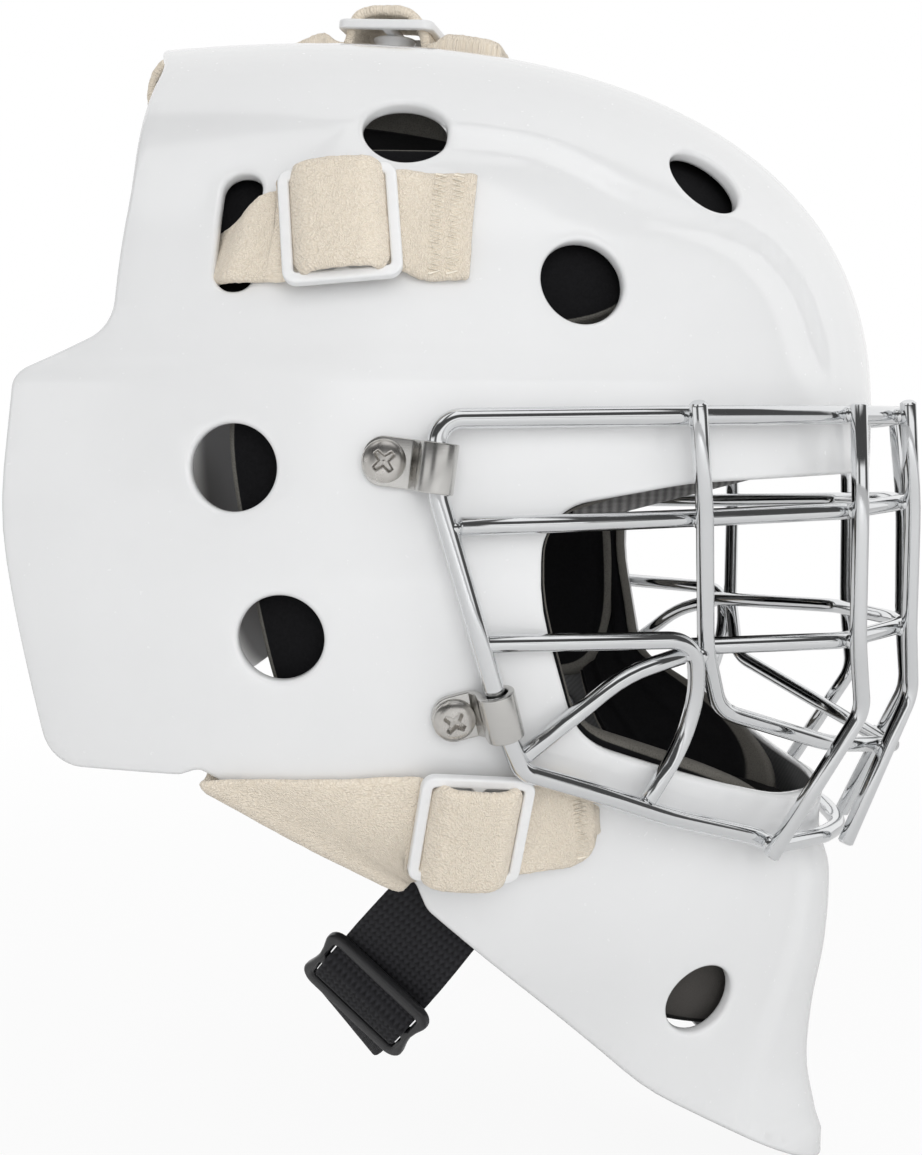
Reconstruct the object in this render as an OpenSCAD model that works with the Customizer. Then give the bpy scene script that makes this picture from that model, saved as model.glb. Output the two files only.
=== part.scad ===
// Hockey goalie mask: moulded shell, welded wire cage, foam liner, elastic harness with a
// hinged back plate, and a chin strap. Millimetres, +Z up, the face looks along -Y, and the
// mirror plane is X = 0. The origin is the middle of the head cavity, level with the ears.

/* [Shell] */
// Half of the shell's greatest width, over the ears
shell_half_w = 110; // [104:1:118]
// From the widest section forward to the brow
shell_front = 151; // [145:1:158]
// From the widest section back to where the form would close
shell_back = 150; // [140:1:165]
// Place of the widest section along Y
widest_y = 45; // [40:1:50]
// Height at which the crown starts to close
crown_z = 40; // [36:1:44]
// Rise of the crown above that height
crown_h = 96.5; // [93:0.5:100]
// Wall of the moulded shell
wall = 3.5; // [3:0.1:4.2]
// Diameter of a vent hole
vent_d = 18.5; // [14:0.5:20]

/* [Face port] */
// Height of the port's upper edge at the brow
port_top = 30; // [28:1:31]
// Height of the port's lower edge at the chin
port_bottom = -54; // [-56:1:-52]
// How far back the port reaches on the cheek
port_back = -35; // [-38:1:-33]

/* [Cage] */
// Diameter of a cage bar
bar_d = 4.4; // [4:0.1:5]
// Diameter of the cage's perimeter wire
rim_d = 5; // [4.6:0.1:5.4]
// Clear distance between the perimeter wire and the shell
rim_gap = 3.2; // [2.8:0.1:4]
// How far the front of the cage stands ahead of the brow
cage_reach = 10; // [8:0.5:13]
// Distance of the centre posts from the mirror plane, at the eye bar
centre_post_x = 21; // [19:0.5:23]
// Distance of the inner posts from the mirror plane, at the eye bar
inner_post_x = 56; // [54:0.5:58]
// Distance of the outer loop from the mirror plane, at the eye bar
outer_loop_x = 81; // [79:0.5:83]

/* [Cage fixings] */
// Diameter of a cage screw's shank
screw_d = 4; // [3.5:0.1:4.5]
// Diameter of a cage screw's domed head
screw_head_d = 9.2; // [8:0.1:10]
// Thickness of a clip's steel strip
clip_t = 1.4; // [1.2:0.1:1.8]
// Width of a clip's steel strip
clip_w = 10.5; // [9.5:0.5:12]
// Outer diameter of a T-nut's barrel
nut_barrel_d = 6.4; // [5.8:0.1:7]
// Outer diameter of a T-nut's flange
nut_flange_d = 13; // [11:0.5:15]
// Thickness of a T-nut's flange
nut_flange_t = 1.2; // [1:0.1:1.5]

/* [Harness] */
// Width of the elastic straps
strap_w = 23; // [20:1:25]
// Thickness of the elastic straps
strap_t = 2.6; // [2:0.1:3]
// Thickness of a strap buckle's plate
buckle_t = 2.4; // [2:0.1:3]
// Width of a buckle's bars
buckle_bar = 2.4; // [2:0.1:2.8]
// Length of a buckle along its strap
buckle_l = 25; // [23:1:28]
// Diameter of the stud that carries a buckle
stud_d = 4; // [3:0.1:5]
// Thickness of the back plate
plate_t = 2.8; // [2.4:0.1:3.4]
// Half of the back plate's width
plate_half_w = 62; // [58:1:66]
// Half of the back plate's height
plate_half_h = 52; // [48:1:55]

/* [Chin strap] */
// Width of the chin strap's webbing
web_w = 25; // [20:1:27]
// Thickness of the chin strap's webbing
web_t = 1.6; // [1.3:0.1:2]
// Length of the chin strap's loop, from its anchors to the lowest point
web_drop = 72; // [62:1:78]

/* [Liner] */
// Thickness of the foam on the brow, crown and sides
foam_t = 12; // [9:0.5:13]
// Thickness of the jaw pads
jaw_t = 14; // [10:0.5:15]
// Thickness of the sweatband
band_t = 3; // [2:0.5:4]

/* [Hidden] */

// Clear distance kept between pieces that don't touch
clear = 0.3;
// The same on the inside of a curved wall
inside = 0.5;
// Sides of a cage wire's cross-section
wire_n = 8;
// Sides of a horizontal ring of the form
ring_n = 60;
// Exponent of the crown seen from the side
dome_n = 2.4;
// Lowest level of the form, under the chin's tip
form_z0 = -154;
// Front of the form at the brow
brow_y = widest_y - shell_front;

// How much narrower the form is at each height, as [height, narrower by]
narrowing = [[form_z0, 57], [-120, 44], [-100, 34], [-80, 22], [-60, 13], [-40, 7], [-20, 3],
    [0, 0.5], [20, 0], [45, 0], [49, 0], [56, 2], [66, 2]];
// How far the form's front lies behind the brow at each height
setback = [[form_z0, 11], [-140, 12.5], [-126, 15], [-110, 14], [-93, 11], [-75, 10],
    [-60, 11.5], [-45, 9], [-30, 6], [0, 2.5], [20, 1], [36, 0]];
// Roundness of the plan at each height: 2 is an ellipse
roundness = [[form_z0, 1.8], [-60, 1.8], [-30, 2], [0, 2.2], [20, 2.2]];

function unit(v) = v / norm(v);
function span(t, z, i = 0) = i >= len(t) - 2 || z <= t[i + 1][0] ? i : span(t, z, i + 1);
function rise(t, i) = (t[i + 1][1] - t[i][1]) / (t[i + 1][0] - t[i][0]);
function slope(t, i) =
    i <= 0 ? rise(t, 0) : i >= len(t) - 1 ? 0 : (rise(t, i - 1) + rise(t, i)) / 2;
// Smooth curve through a table of [height, value], level past its ends
function smooth(t, z) =
    let (i = span(t, z), h = t[i + 1][0] - t[i][0], u = min(1, max(0, (z - t[i][0]) / h)))
    let (a = t[i][1], b = t[i + 1][1], p = slope(t, i) * h, q = slope(t, i + 1) * h)
    a + u * (p + u * (3 * (b - a) - 2 * p - q + u * (p + q - 2 * (b - a))));

// The form: half width, front reach and roundness of its section at a height
function half_at(z, off = 0) = shell_half_w - smooth(narrowing, z) + off;
function front_at(z, off = 0) = shell_front - smooth(setback, z) + off;
function plan_n(z) = smooth(roundness, z);
// Size of the section at a height, against the section where the crown starts
function dome(z, off = 0) =
    z <= crown_z ? 1 : pow(max(0, 1 - pow((z - crown_z) / (crown_h + off), dome_n)), 1 / dome_n);
function dome_z(s, off = 0) = crown_z + (crown_h + off) * pow(max(0, 1 - pow(s, dome_n)), 1 / dome_n);

// Point of the form at plan angle t, 0 at the front and 90 at the left side, with section size s
function form_point(t, z, s, off = 0) =
    let (c = cos(t), d = sin(t), e = 2 / plan_n(z))
    [
        sign(d) * pow(abs(d), e) * half_at(z, off) * s,
        widest_y - sign(c) * pow(abs(c), e) * (c > 0 ? front_at(z, off) : shell_back + off) * s,
        z
    ];
function bare(t, z) = form_point(t, z, dome(z));
// Outward normal of the form, and a point of the form moved out along it
function normal_at(t, z) = unit(cross(bare(t + 1, z) - bare(t - 1, z), bare(t, z + 1) - bare(t, z - 1)));
function skin(t, z, off = 0) = bare(t, z) + normal_at(t, z) * off;
// Plan angle at which the form's left side has the given Y
function turn(y, z) =
    let (s = dome(z), n = plan_n(z))
    y <= widest_y
        ? acos(pow(min(1, (widest_y - y) / (front_at(z) * s)), n / 2))
        : 180 - acos(pow(min(1, (y - widest_y) / (shell_back * s)), n / 2));
// Point of the form's left side at a Y and a height, moved out
function side(y, z, off = 0) = skin(turn(y, z), z, off);
function side_normal(y, z) = normal_at(turn(y, z), z);
crown_top_z = crown_z + crown_h;
// Point of the crown above an X and a Y, moved out
function crown_bare(x, y) =
    let (n = plan_n(crown_top_z), a = y < widest_y ? front_at(crown_top_z) : shell_back)
    [x, y, dome_z(pow(pow(abs(x) / half_at(crown_top_z), n) + pow(abs(y - widest_y) / a, n), 1 / n))];
function crown_normal(x, y) =
    unit(cross(crown_bare(x + 1, y) - crown_bare(x - 1, y), crown_bare(x, y + 1) - crown_bare(x, y - 1)));
function crown(x, y, off = 0) = crown_bare(x, y) + crown_normal(x, y) * off;

// Closed solid through rings of equal length, with its first end made of the given faces
module loft(rings, end) {
    n = len(rings[0]);
    m = len(rings);
    first = is_undef(end) ? [[for (i = [0:n - 1]) i]] : end;
    walls = [for (j = [0:m - 2], i = [0:n - 1], f = [[[0, 0], [1, 0], [1, 1]], [[0, 0], [1, 1], [0, 1]]])
        [for (c = f) (j + c.x) * n + (i + c.y) % n]];
    polyhedron(points = [for (r = rings) each r], convexity = 6,
        faces = concat(walls, first, [for (f = first) [for (i = [len(f) - 1:-1:0]) (m - 1) * n + f[i]]]));
}
// Ring of the form at a height with section size s
function form_ring(z, s, off) = [for (i = [0:ring_n - 1]) form_point(90 + 360 * i / ring_n, z, s, off)];
module form(off) {
    heights = [form_z0, each [-145:10:35], 40, 45, 49, 56, 66];
    crown_angles = [16, 20, each [28:8:84]];
    loft(concat([for (z = heights) form_ring(z, dome(z, off), off)],
        [for (a = crown_angles) let (s = pow(cos(a), 2 / dome_n)) form_ring(dome_z(s, off), s, off)]));
}

// Points of the arc that rounds the corner p between a and b
function soft_corner(a, p, b, r, step) =
    let (u = unit(a - p), v = unit(b - p), half = acos(max(-1, min(1, u * v))) / 2, open = 180 - 2 * half)
    r == 0 || open < 5 ? [p] :
    let (d = min(r / tan(half), 0.48 * norm(a - p), 0.48 * norm(b - p)))
    let (c = p + unit(u + v) * d / cos(half))
    let (s = p + u * d - c, e = p + v * d - c, n = ceil(open / step))
    [for (i = [0:n]) c + (s * sin(open * (n - i) / n) + e * sin(open * i / n)) / sin(open)];
// Outline with rounded corners, from [x, y, radius]
function rounded(q, step = 18) =
    let (m = len(q), p = [for (k = q) [k[0], k[1]]])
    [for (i = [0:m - 1]) each soft_corner(p[(i + m - 1) % m], p[i], p[(i + 1) % m], q[i][2], step)];
// Route with rounded bends, from [point, radius]
function bent(q, step = 14) =
    let (m = len(q))
    [for (i = [0:m - 1])
        each i == 0 || i == m - 1 ? [q[i][0]] :
            soft_corner(q[i - 1][0], q[i][0], q[i + 1][0], q[i][1], step)];
// Closed route with rounded bends
function loop_bent(q, step = 14) =
    let (m = len(q))
    [for (i = [0:m - 1])
        each soft_corner(q[(i + m - 1) % m][0], q[i][0], q[(i + 1) % m][0], q[i][1], step)];

// Outline in Y and Z carried across the mask
module across(points, reach = 130) {
    rotate([90, 0, 90]) translate([0, 0, -reach]) linear_extrude(2 * reach) polygon(points);
}
// Children on the left side, or mirrored to the right
module on(s) {
    if (s > 0) children();
    else mirror([1, 0, 0]) children();
}
// Turns +Z to a direction
module aim(n) {
    rotate([0, acos(n.z), atan2(n.y, n.x)]) children();
}

// Shell

// The shell seen from the side: rear edge, lower edge and chin
shell_edge = [[-150, 170, 0], [80, 170, 0], [74, 138, 6], [57.5, 124, 14], [54, 90, 60], [55.5, 60, 9],
    [77.5, 50.5, 6], [81.5, 20, 70], [73, -35.5, 9], [42.5, -36.5, 4], [38, -35, 3], [-6, -61.8, 4],
    [-8, -69, 6], [-54, -122.5, 60], [-95, -150.5, 3], [-150, -150.5, 0]];
port_edge = [[-160, port_top + 1, 0], [-66, port_top - 3.5, 60], [port_back - 1, port_top - 9, 14],
    [port_back, 2, 60], [-42, -30, 16], [-66, -41, 50], [-86, port_bottom + 4, 30],
    [-160, port_bottom - 9, 0]];
// Vent holes in the side, as [y, z], and in the crown, as [x, y]
side_vents = [[28, 30], [18.5, -6], [-43, 69.5], [-66.5, -99]];
crown_vents = [[84, -3.5], [57, -67]];
// Slot for an upper strap
slot_y = 29;
slot_z = 80;
slot_w = 8.6;
slot_edge = let (h = strap_w / 2 + 1.5)
    [for (c = [[1, 1], [-1, 1], [-1, -1], [1, -1]]) [slot_y + c.x * slot_w / 2, slot_z + c.y * h, 4]];

module drill(p, n, d, reach = 12) {
    translate(p - n * reach) aim(n) cylinder(h = 2 * reach, d = d, $fn = 48);
}
module pierced(s) {
    on(s) {
        for (v = side_vents) drill(side(v.x, v.y), side_normal(v.x, v.y), vent_d);
        for (v = crown_vents) drill(crown(v.x, v.y), crown_normal(v.x, v.y), vent_d);
        for (c = clips) drill(clip_foot(c), clip_normal(c), nut_barrel_d + clear);
        for (b = side_buckles) drill(side(b.x, b.y), side_normal(b.x, b.y), stud_d + clear);
    }
}
module shell() {
    color("white") difference() {
        resize([2 * shell_half_w, 0, 0]) difference() {
            intersection() {
                difference() {
                    form(0);
                    form(-wall);
                }
                across(rounded(shell_edge));
            }
            across(rounded(port_edge));
            across(rounded(slot_edge));
        }
        for (s = [-1, 1]) pierced(s);
        drill(crown(0, top_buckle_y), crown_normal(0, top_buckle_y), stud_d + clear);
    }
}

// Cage

front_y = brow_y - cage_reach;
rim_off = rim_gap + rim_d / 2;
// Step between the centres of two welded wires, a little less than their thickness
weld = 0.88 * bar_d;
rim_weld = 0.9 * (rim_d + bar_d) / 2;
rim_top_z = port_top + 11;
eye_z = port_top - 10;
lower_z = -10;
// Posts as [distance from the mirror plane at the eye bar, set-back from the front, lean, outwards]
centre = [centre_post_x, 0.5, 0.2, unit([0.12, -1, 0])];
inner = [inner_post_x, 14, 0.17, unit([0.6, -0.8, 0])];
outer = [outer_loop_x, 47.5, 0.31, unit([0.85, -0.5, 0])];
function post(k, z, out = 0) = [k[0] - k[2] * (eye_z - z), front_y + k[1], z] + out * k[3];
function flip(p) = [-p.x, p.y, p.z];
// End of a wire that is welded to the side of the perimeter wire
function butt(from, rim) = rim + unit(from - rim) * (rim_d / 2 - 0.4);
// A route drawn on the left, carried on to the right in mirror image
function both(q) = concat([for (i = [len(q) - 1:-1:0]) [flip(q[i][0]), q[i][1]]], q);

// Ring of a wire round a point, from two directions square to it
function wire_ring(p, u, w, d) =
    [for (i = [0:wire_n - 1]) let (a = 360 * i / wire_n) p + d / 2 * (u * cos(a) + w * sin(a))];
function tangent(p, i) = unit(p[min(i + 1, len(p) - 1)] - p[max(i - 1, 0)]);
function carried(p, u, i = 0) =
    i == len(p) ? [] : let (t = tangent(p, i), v = unit(u - (u * t) * t)) concat([v], carried(p, v, i + 1));
module wire(q, d) {
    p = bent(q);
    a = tangent(p, 0);
    us = carried(p, abs(a.z) < 0.8 ? [0, 0, 1] : [0, 1, 0]);
    color("silver") loft([for (i = [0:len(p) - 1]) wire_ring(p[i], us[i], cross(tangent(p, i), us[i]), d)]);
}
module wire_loop(p, hub, d) {
    m = len(p);
    n = wire_n;
    rings = [for (i = [0:m - 1])
        let (t = unit(p[(i + 1) % m] - p[(i + m - 1) % m]), h = p[i] - hub, u = unit(h - (h * t) * t))
        wire_ring(p[i], u, cross(t, u), d)];
    color("silver") polyhedron(points = [for (r = rings) each r], convexity = 6,
        faces = [for (j = [0:m - 1], i = [0:n - 1])
            let (k = (j + 1) % m, l = (i + 1) % n) [j * n + i, k * n + i, k * n + l, j * n + l]]);
}

// The perimeter wire on the left: plan angles along the brow and the chin, and [y, z, bend] down the side
brow_turns = [12, 27, 38, 48];
rim_side = [[-14, rim_top_z - 1, 5], [-14.3, 24, 10], [-21.3, -2, 60], [-26.3, -25, 40], [-28.8, -33, 6],
    [-44, -39, 60], [-57.4, -46, 60], [-75.5, port_bottom - 0.7, 60]];
chin_turns = [26, 14];
// The perimeter stands this much further off at the middle of the brow
brow_gap = 2;
function brow_off(t) = rim_off + brow_gap * max(0, 1 - t / 30);
chin_z = port_bottom - 9;
rim_half = concat([for (t = brow_turns) [skin(t, rim_top_z + 1.5 - t / 30, brow_off(t)), 60]],
    [for (r = rim_side) [side(r.x, r.y, rim_off), r[2]]],
    [for (t = chin_turns) [skin(t, chin_z + t / 6, rim_off), 30]]);
module cage_rim() {
    m = len(rim_half);
    loop = concat([[skin(0, rim_top_z + 1.5, brow_off(0)), 60]], rim_half, [[skin(0, chin_z, rim_off), 60]],
        [for (i = [m - 1:-1:0]) [flip(rim_half[i][0]), rim_half[i][1]]]);
    wire_loop(loop_bent(loop), [0, -60, -10], rim_d);
}
// The eye bar passes the port's rear edge here
eye_past = side(-40, eye_z - 1.5, bar_d / 2 + 1.5);
module cage_eye_bar() {
    end = butt(eye_past, side(-16.3, eye_z - 2, rim_off));
    wire(both([[[0, front_y + 1, eye_z + 1], 0], [post(centre, eye_z + 1, -weld), 40],
        [post(inner, eye_z, -weld), 12], [post(outer, eye_z - 1, -weld), 40], [eye_past, 30],
        [end, 0]]), bar_d);
}
module cage_lower_bar() {
    past = 5;
    o = post(outer, lower_z, -1.25 * weld);
    wire(both([[[0, front_y + 1, lower_z], 0], [post(centre, lower_z, -weld), 40],
        [post(inner, lower_z, -weld), 12], [o + unit(o - post(inner, lower_z, -weld)) * past, 0]]), bar_d);
}
module cage_outer_loop() {
    end = side(-61.8, rim_top_z + 2.5, rim_off + rim_weld);
    wire(both([[[0, front_y + 3.5, -41.5], 0], [[33, front_y + 20, -36.5], 30],
        [[59, front_y + 45, -25.5], 14], [post(outer, lower_z), 14], [post(outer, eye_z), 60],
        [end, 0]]), bar_d);
}
module cage_inner_post() {
    wire([[skin(25.5, rim_top_z + 3, brow_off(25.5) + rim_weld), 0], [post(inner, eye_z), 60],
        [post(inner, lower_z), 40], [[43.5, front_y + inner[1] - 1.5, -27], 8],
        [skin(29, chin_z + 4, rim_off + rim_weld), 0]], bar_d);
}
module cage_centre_post() {
    wire([[skin(12.5, rim_top_z + 4, brow_off(12.5) + rim_weld), 0], [post(centre, eye_z), 60],
        [post(centre, lower_z), 40], [[9, front_y - 0.5, -27], 9],
        [skin(12, chin_z - 1, rim_off + rim_weld), 0]], bar_d);
}
// The hooks lie about the port's own surface, where the shell is cut away
hook_corner = side(-66, -7.5, 0.6);
module cage_hook() {
    knee = side(-63, -32, 0.4);
    wire([[butt(hook_corner, side(-20.3, -5.5, rim_off)), 0], [hook_corner, 9],
        [side(-67, -20, -0.6), 20], [knee, 20], [butt(knee, side(-52, -43.5, rim_off)), 0]], bar_d);
}
module cage_brace() {
    middle = side(-52, -14.5, 0.3);
    wire([[butt(middle, side(-27.7, -31, rim_off)), 0], [middle, 30],
        [hook_corner + [-0.5, 2.5, -3.5], 0]], bar_d);
}

// Cage fixings

// Clips as [y and z of the screw, y and z of the wire under the strip]
clips = [[[-3.6, 31.4], [-14, 30]], [[-16.5, -23], [-25.3, -20.5]]];
function clip_foot(c) = side(c[0].x, c[0].y);
function clip_normal(c) = side_normal(c[0].x, c[0].y);
// Direction of the strip along the shell, towards the wire
function clip_run(c) =
    let (n = clip_normal(c), w = side(c[1].x, c[1].y, rim_off) - clip_foot(c)) unit(w - (w * n) * n);
// How far along the strip and how far out the wire lies
function clip_wire(c) =
    let (w = side(c[1].x, c[1].y, rim_off) - clip_foot(c)) [w * clip_run(c), w * clip_normal(c)];
// Puts +X on the run of the clip and +Z on the shell's normal
module at_clip(c) {
    n = clip_normal(c);
    x = clip_run(c);
    flat = [-sin(atan2(n.y, n.x)), cos(atan2(n.y, n.x)), 0];
    up = cross(n, flat);
    translate(clip_foot(c)) aim(n) rotate([0, 0, atan2(x * flat, -(x * up))]) children();
}
module clip(c) {
    w = clip_wire(c);
    r = rim_d / 2 + clear / 2;
    tail = clip_w / 2 + 1;
    color("silver") at_clip(c) difference() {
        union() {
            translate([-tail + clip_w / 2, 0, 0]) cylinder(h = clip_t, d = clip_w, $fn = 32);
            translate([-tail + clip_w / 2, -clip_w / 2, 0])
                cube([w.x + tail - clip_w / 2 - r * 0.6, clip_w, clip_t]);
            translate([w.x, clip_w / 2, w.y]) rotate([90, 0, 0]) difference() {
                cylinder(h = clip_w, r = r + clip_t, $fn = 48);
                translate([0, 0, -1]) cylinder(h = clip_w + 2, r = r, $fn = 48);
                translate([-2 * r - clip_t, -2 * rim_d, -1]) cube([2 * r + clip_t, 2 * rim_d, clip_w + 2]);
            }
            hull() {
                translate([w.x - r - clip_t, -clip_w / 2, w.y]) cube([clip_t, clip_w, 0.1]);
                translate([w.x - r - clip_t - 1.5, -clip_w / 2, 0]) cube([clip_t, clip_w, 0.1]);
            }
        }
        translate([0, 0, -1]) cylinder(h = 10, d = screw_d + clear, $fn = 32);
    }
}
module cage_screws() {
    head_h = 2.6;
    for (s = [-1, 1], c = clips) color("silver") on(s) at_clip(c) difference() {
        union() {
            translate([0, 0, clip_t]) intersection() {
                cylinder(h = head_h, d = screw_head_d, $fn = 40);
                translate([0, 0, head_h - screw_head_d]) sphere(r = screw_head_d, $fn = 48);
            }
            translate([0, 0, -wall - 1.4]) cylinder(h = wall + 1.5 + clip_t, d = screw_d, $fn = 32);
        }
        for (a = [45, 135]) translate([0, 0, clip_t + head_h]) rotate([0, 0, a])
            cube([5.4, 1.1, 2.4], center = true);
    }
}
module cage_t_nuts() {
    for (s = [-1, 1], c = clips) color("gray") on(s) at_clip(c) difference() {
        union() {
            translate([0, 0, -wall - inside - nut_flange_t])
                cylinder(h = nut_flange_t, d = nut_flange_d, $fn = 32);
            translate([0, 0, -wall - inside - 0.1]) cylinder(h = wall + inside, d = nut_barrel_d, $fn = 32);
        }
        translate([0, 0, -20]) cylinder(h = 40, d = screw_d + 0.1, $fn = 32);
    }
}

// Harness

// Height of the buckle plates above the shell, over one layer of strap
buckle_off = strap_t + 2 * clear;
// The same for the top buckle, over a doubled strap
top_buckle_off = 2 * strap_t + 2 * clear;
// Side buckles as [y, z] of their studs
side_buckles = [[6.8, slot_z], [-17.8, -47.5]];
top_buckle_y = 18;

// Flat strip through stations, each [one edge, middle, other edge, outward normal, layers]
module strip(q, t) {
    along = unit(q[1][1] - q[0][1]);
    turned = cross(q[0][2] - q[0][0], q[0][3]) * along < 0;
    loft([for (k = q)
        let (n = k[3] * t * (is_undef(k[4]) ? 1 : k[4]))
        let (r = [k[0], k[1], k[2], k[2] + n, k[1] + n, k[0] + n])
        turned ? [for (i = [5:-1:0]) r[i]] : r], [[0, 1, 4], [0, 4, 5], [1, 2, 3], [1, 3, 4]]);
}
// Stations across the form's left side, over the crown, and in free space by middle, width and normal
function lain(y, z, off) =
    let (h = strap_w / 2)
    [side(y, z - h, off), side(y, z, off), side(y, z + h, off), side_normal(y, z)];
function crossed(y, off, layers = 1) =
    let (h = strap_w / 2)
    [crown(-h, y, off), crown(0, y, off), crown(h, y, off), crown_normal(0, y), layers];
function free(p, w, n, half = strap_w / 2) = [p - w * half, p, p + w * half, n];
// Frame on the shell at a buckle: along the strap, across it, outwards
function side_frame(b) = let (n = side_normal(b.x, b.y), x = unit([-n.y, n.x, 0])) [x, cross(n, x), n];
top_frame = let (n = crown_normal(0, top_buckle_y)) [cross(n, [1, 0, 0]), [1, 0, 0], n];
// The strap is drawn in a little where it passes the buckle
pinched = 0.9 * strap_w / 2;
// Strap through a buckle that stands at a height over the shell
function threaded(p, f, under) =
    [for (k = [[-10.2, clear], [-6.6, under - 1], [-3, under + buckle_t + clear],
            [3, under + buckle_t + clear], [6.6, under - 1], [10.2, clear]])
        free(p + f[0] * k[0] + f[2] * k[1], f[1], f[2], pinched)];

module upper_strap() {
    b = side_buckles[0];
    // Inside the shell, behind the slot
    in = lain(slot_y + 6, slot_z, -wall - 2.4 - strap_t);
    color("ivory") strip(concat([lain(b.x - 25.5, slot_z, clear), lain(b.x - 17, slot_z, clear)],
        threaded(side(b.x, b.y), side_frame(b), buckle_off),
        [lain(b.x + 15, slot_z, clear), lain(slot_y - 3.4, slot_z, clear),
            lain(slot_y + 1, slot_z, -wall / 2 - strap_t / 2),
            [in[0], in[1], in[2], unit(in[3] + [0, 0.6, 0])],
            free(in[1] + [-19, 19, -5], [0, 0, 1], unit([0.7, 0.7, 0])),
            free(plate_point(1.04, 0.45) + [1, 3.5, 0], [0, 0, 1], unit([0.6, 0.8, 0])),
            for (u = [0.88, 0.74, 0.6])
                free(plate_point(u, 0.43) + [0, 1.3, 0], [0, 0, 1], unit([0.5 * u, 0.9, 0]))]),
        strap_t);
}
// Where the lower strap folds round the shell's lower edge, as [y, z] of its two sides, and outwards
fold_low = [-4.5, -61.3];
fold_high = [36.5, -36.2];
fold_out = unit([0, 0.52, -0.854]);
function folded(off, out, n) =
    let (a = side(fold_low.x, fold_low.y, off), b = side(fold_high.x, fold_high.y, off))
    let (m = (fold_low + fold_high) / 2)
    [a + fold_out * out, side(m.x, m.y, off) + fold_out * out, b + fold_out * out, n];
module lower_strap() {
    b = side_buckles[1];
    n = side_normal(16, -46);
    in = -wall - clear;
    up = unit([0.35, 0, 0.94]);
    h = strap_w / 2;
    start = b.x + 10.3;
    slanted = function (k)
        let (low = [start, b.y - h] * (1 - k) + fold_low * k)
        let (high = [start, b.y + h] * (1 - k) + fold_high * k, m = (low + high) / 2)
        [side(low.x, low.y, clear), side(m.x, m.y, clear), side(high.x, high.y, clear),
            side_normal(m.x, m.y)];
    color("ivory") strip(concat([lain(b.x - 26, b.y, clear), lain(b.x - 16, b.y, clear)],
        threaded(side(b.x, b.y), side_frame(b), buckle_off),
        [slanted(0.35), slanted(0.7), folded(clear, 0.4, n), folded(-wall / 2, 1, fold_out),
            folded(in, 0.4, -n), folded(in - 4, -12, -n),
            free(plate_point(1.1, -0.5) + [9, -8, -8], unit([0.5, 0.35, 0.8]), unit([-0.4, 0.9, -0.1])),
            free(plate_point(1, -0.45) + [0, 4, 0], up, unit([0.5, 0.9, 0])),
            for (u = [0.84, 0.72, 0.6])
                free(plate_point(u, -0.45) + [0, 1.3, 0], up, unit([0.5 * u, 0.9, 0]))]),
        strap_t);
}
module top_strap() {
    over = crown(0, 72, 0);
    level = [1, 0, 0];
    color("ivory") strip(concat(
        [crossed(top_buckle_y - 28, clear, 2), crossed(top_buckle_y - 15, clear, 2)],
        threaded(crown(0, top_buckle_y), top_frame, top_buckle_off),
        [for (d = [16:9:52]) crossed(top_buckle_y + d, clear, d < 20 ? 2 : 1)],
        [free(over + [0, 4.8, -1.5], level, unit([0, 0.8, 0.6])),
            free(over + [0, 7.8, -7], level, unit([0, 1, 0.1])),
            free(plate_point(0, 1.02) + [0, 3, 2], level, unit([0, 1, 0.1])),
            for (v = [0.92, 0.78, 0.64])
                free(plate_point(0, v) + [0, 0.7, 0], level, unit([0, 1, 0.14 * v]))]),
        strap_t);
}

// Buckle in its own frame: +X along the strap, +Z away from the shell
module buckle_plate() {
    half_w = pinched + clear + buckle_bar;
    window = (buckle_l - 3 * buckle_bar) / 2;
    color("white") difference() {
        linear_extrude(buckle_t) polygon(rounded([for (c = [[1, 1], [-1, 1], [-1, -1], [1, -1]])
            [c.x * buckle_l / 2, c.y * half_w, 3]]));
        for (s = [-1, 1]) translate([s * (buckle_bar + window) / 2, 0, buckle_t / 2])
            cube([window, 2 * (half_w - buckle_bar), buckle_t + 2], center = true);
    }
}
// Puts a frame of three directions at a point
module framed(p, f) {
    multmatrix([for (i = [0:2]) [f[0][i], f[1][i], f[2][i], p[i]]]) children();
}
module side_buckle(b) {
    framed(side(b.x, b.y), side_frame(b)) translate([0, 0, buckle_off]) buckle_plate();
}
module top_buckle() {
    framed(crown(0, top_buckle_y), top_frame) translate([0, 0, top_buckle_off]) buckle_plate();
}
// Stud under a buckle's middle bar, through the strap's gap and the shell
module stud(under) {
    color("gainsboro") {
        cylinder(h = 1.4, d = stud_d + 2, $fn = 32);
        cylinder(h = under - 0.05, d = stud_d, $fn = 32);
        translate([0, 0, -wall - inside - 1]) cylinder(h = wall + 2, d = stud_d, $fn = 32);
        translate([0, 0, -wall - inside - 1.2]) cylinder(h = 1.2, d = stud_d + 4, $fn = 32);
    }
}
module buckle_studs() {
    for (s = [-1, 1], b = side_buckles) on(s) framed(side(b.x, b.y), side_frame(b)) stud(buckle_off);
    framed(crown(0, top_buckle_y), top_frame) stud(top_buckle_off);
}

// Back plate

plate_y = 78;
plate_z = 42;
// Point of the plate's rear face, from -1 to 1 across and up
function plate_point(u, v) =
    [plate_half_w * u * (1 - 0.14 * pow(v, 4)), plate_y - 19 * u * u - 7 * v * v,
        plate_z + plate_half_h * v * (1 - 0.14 * pow(u, 4))];
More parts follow.
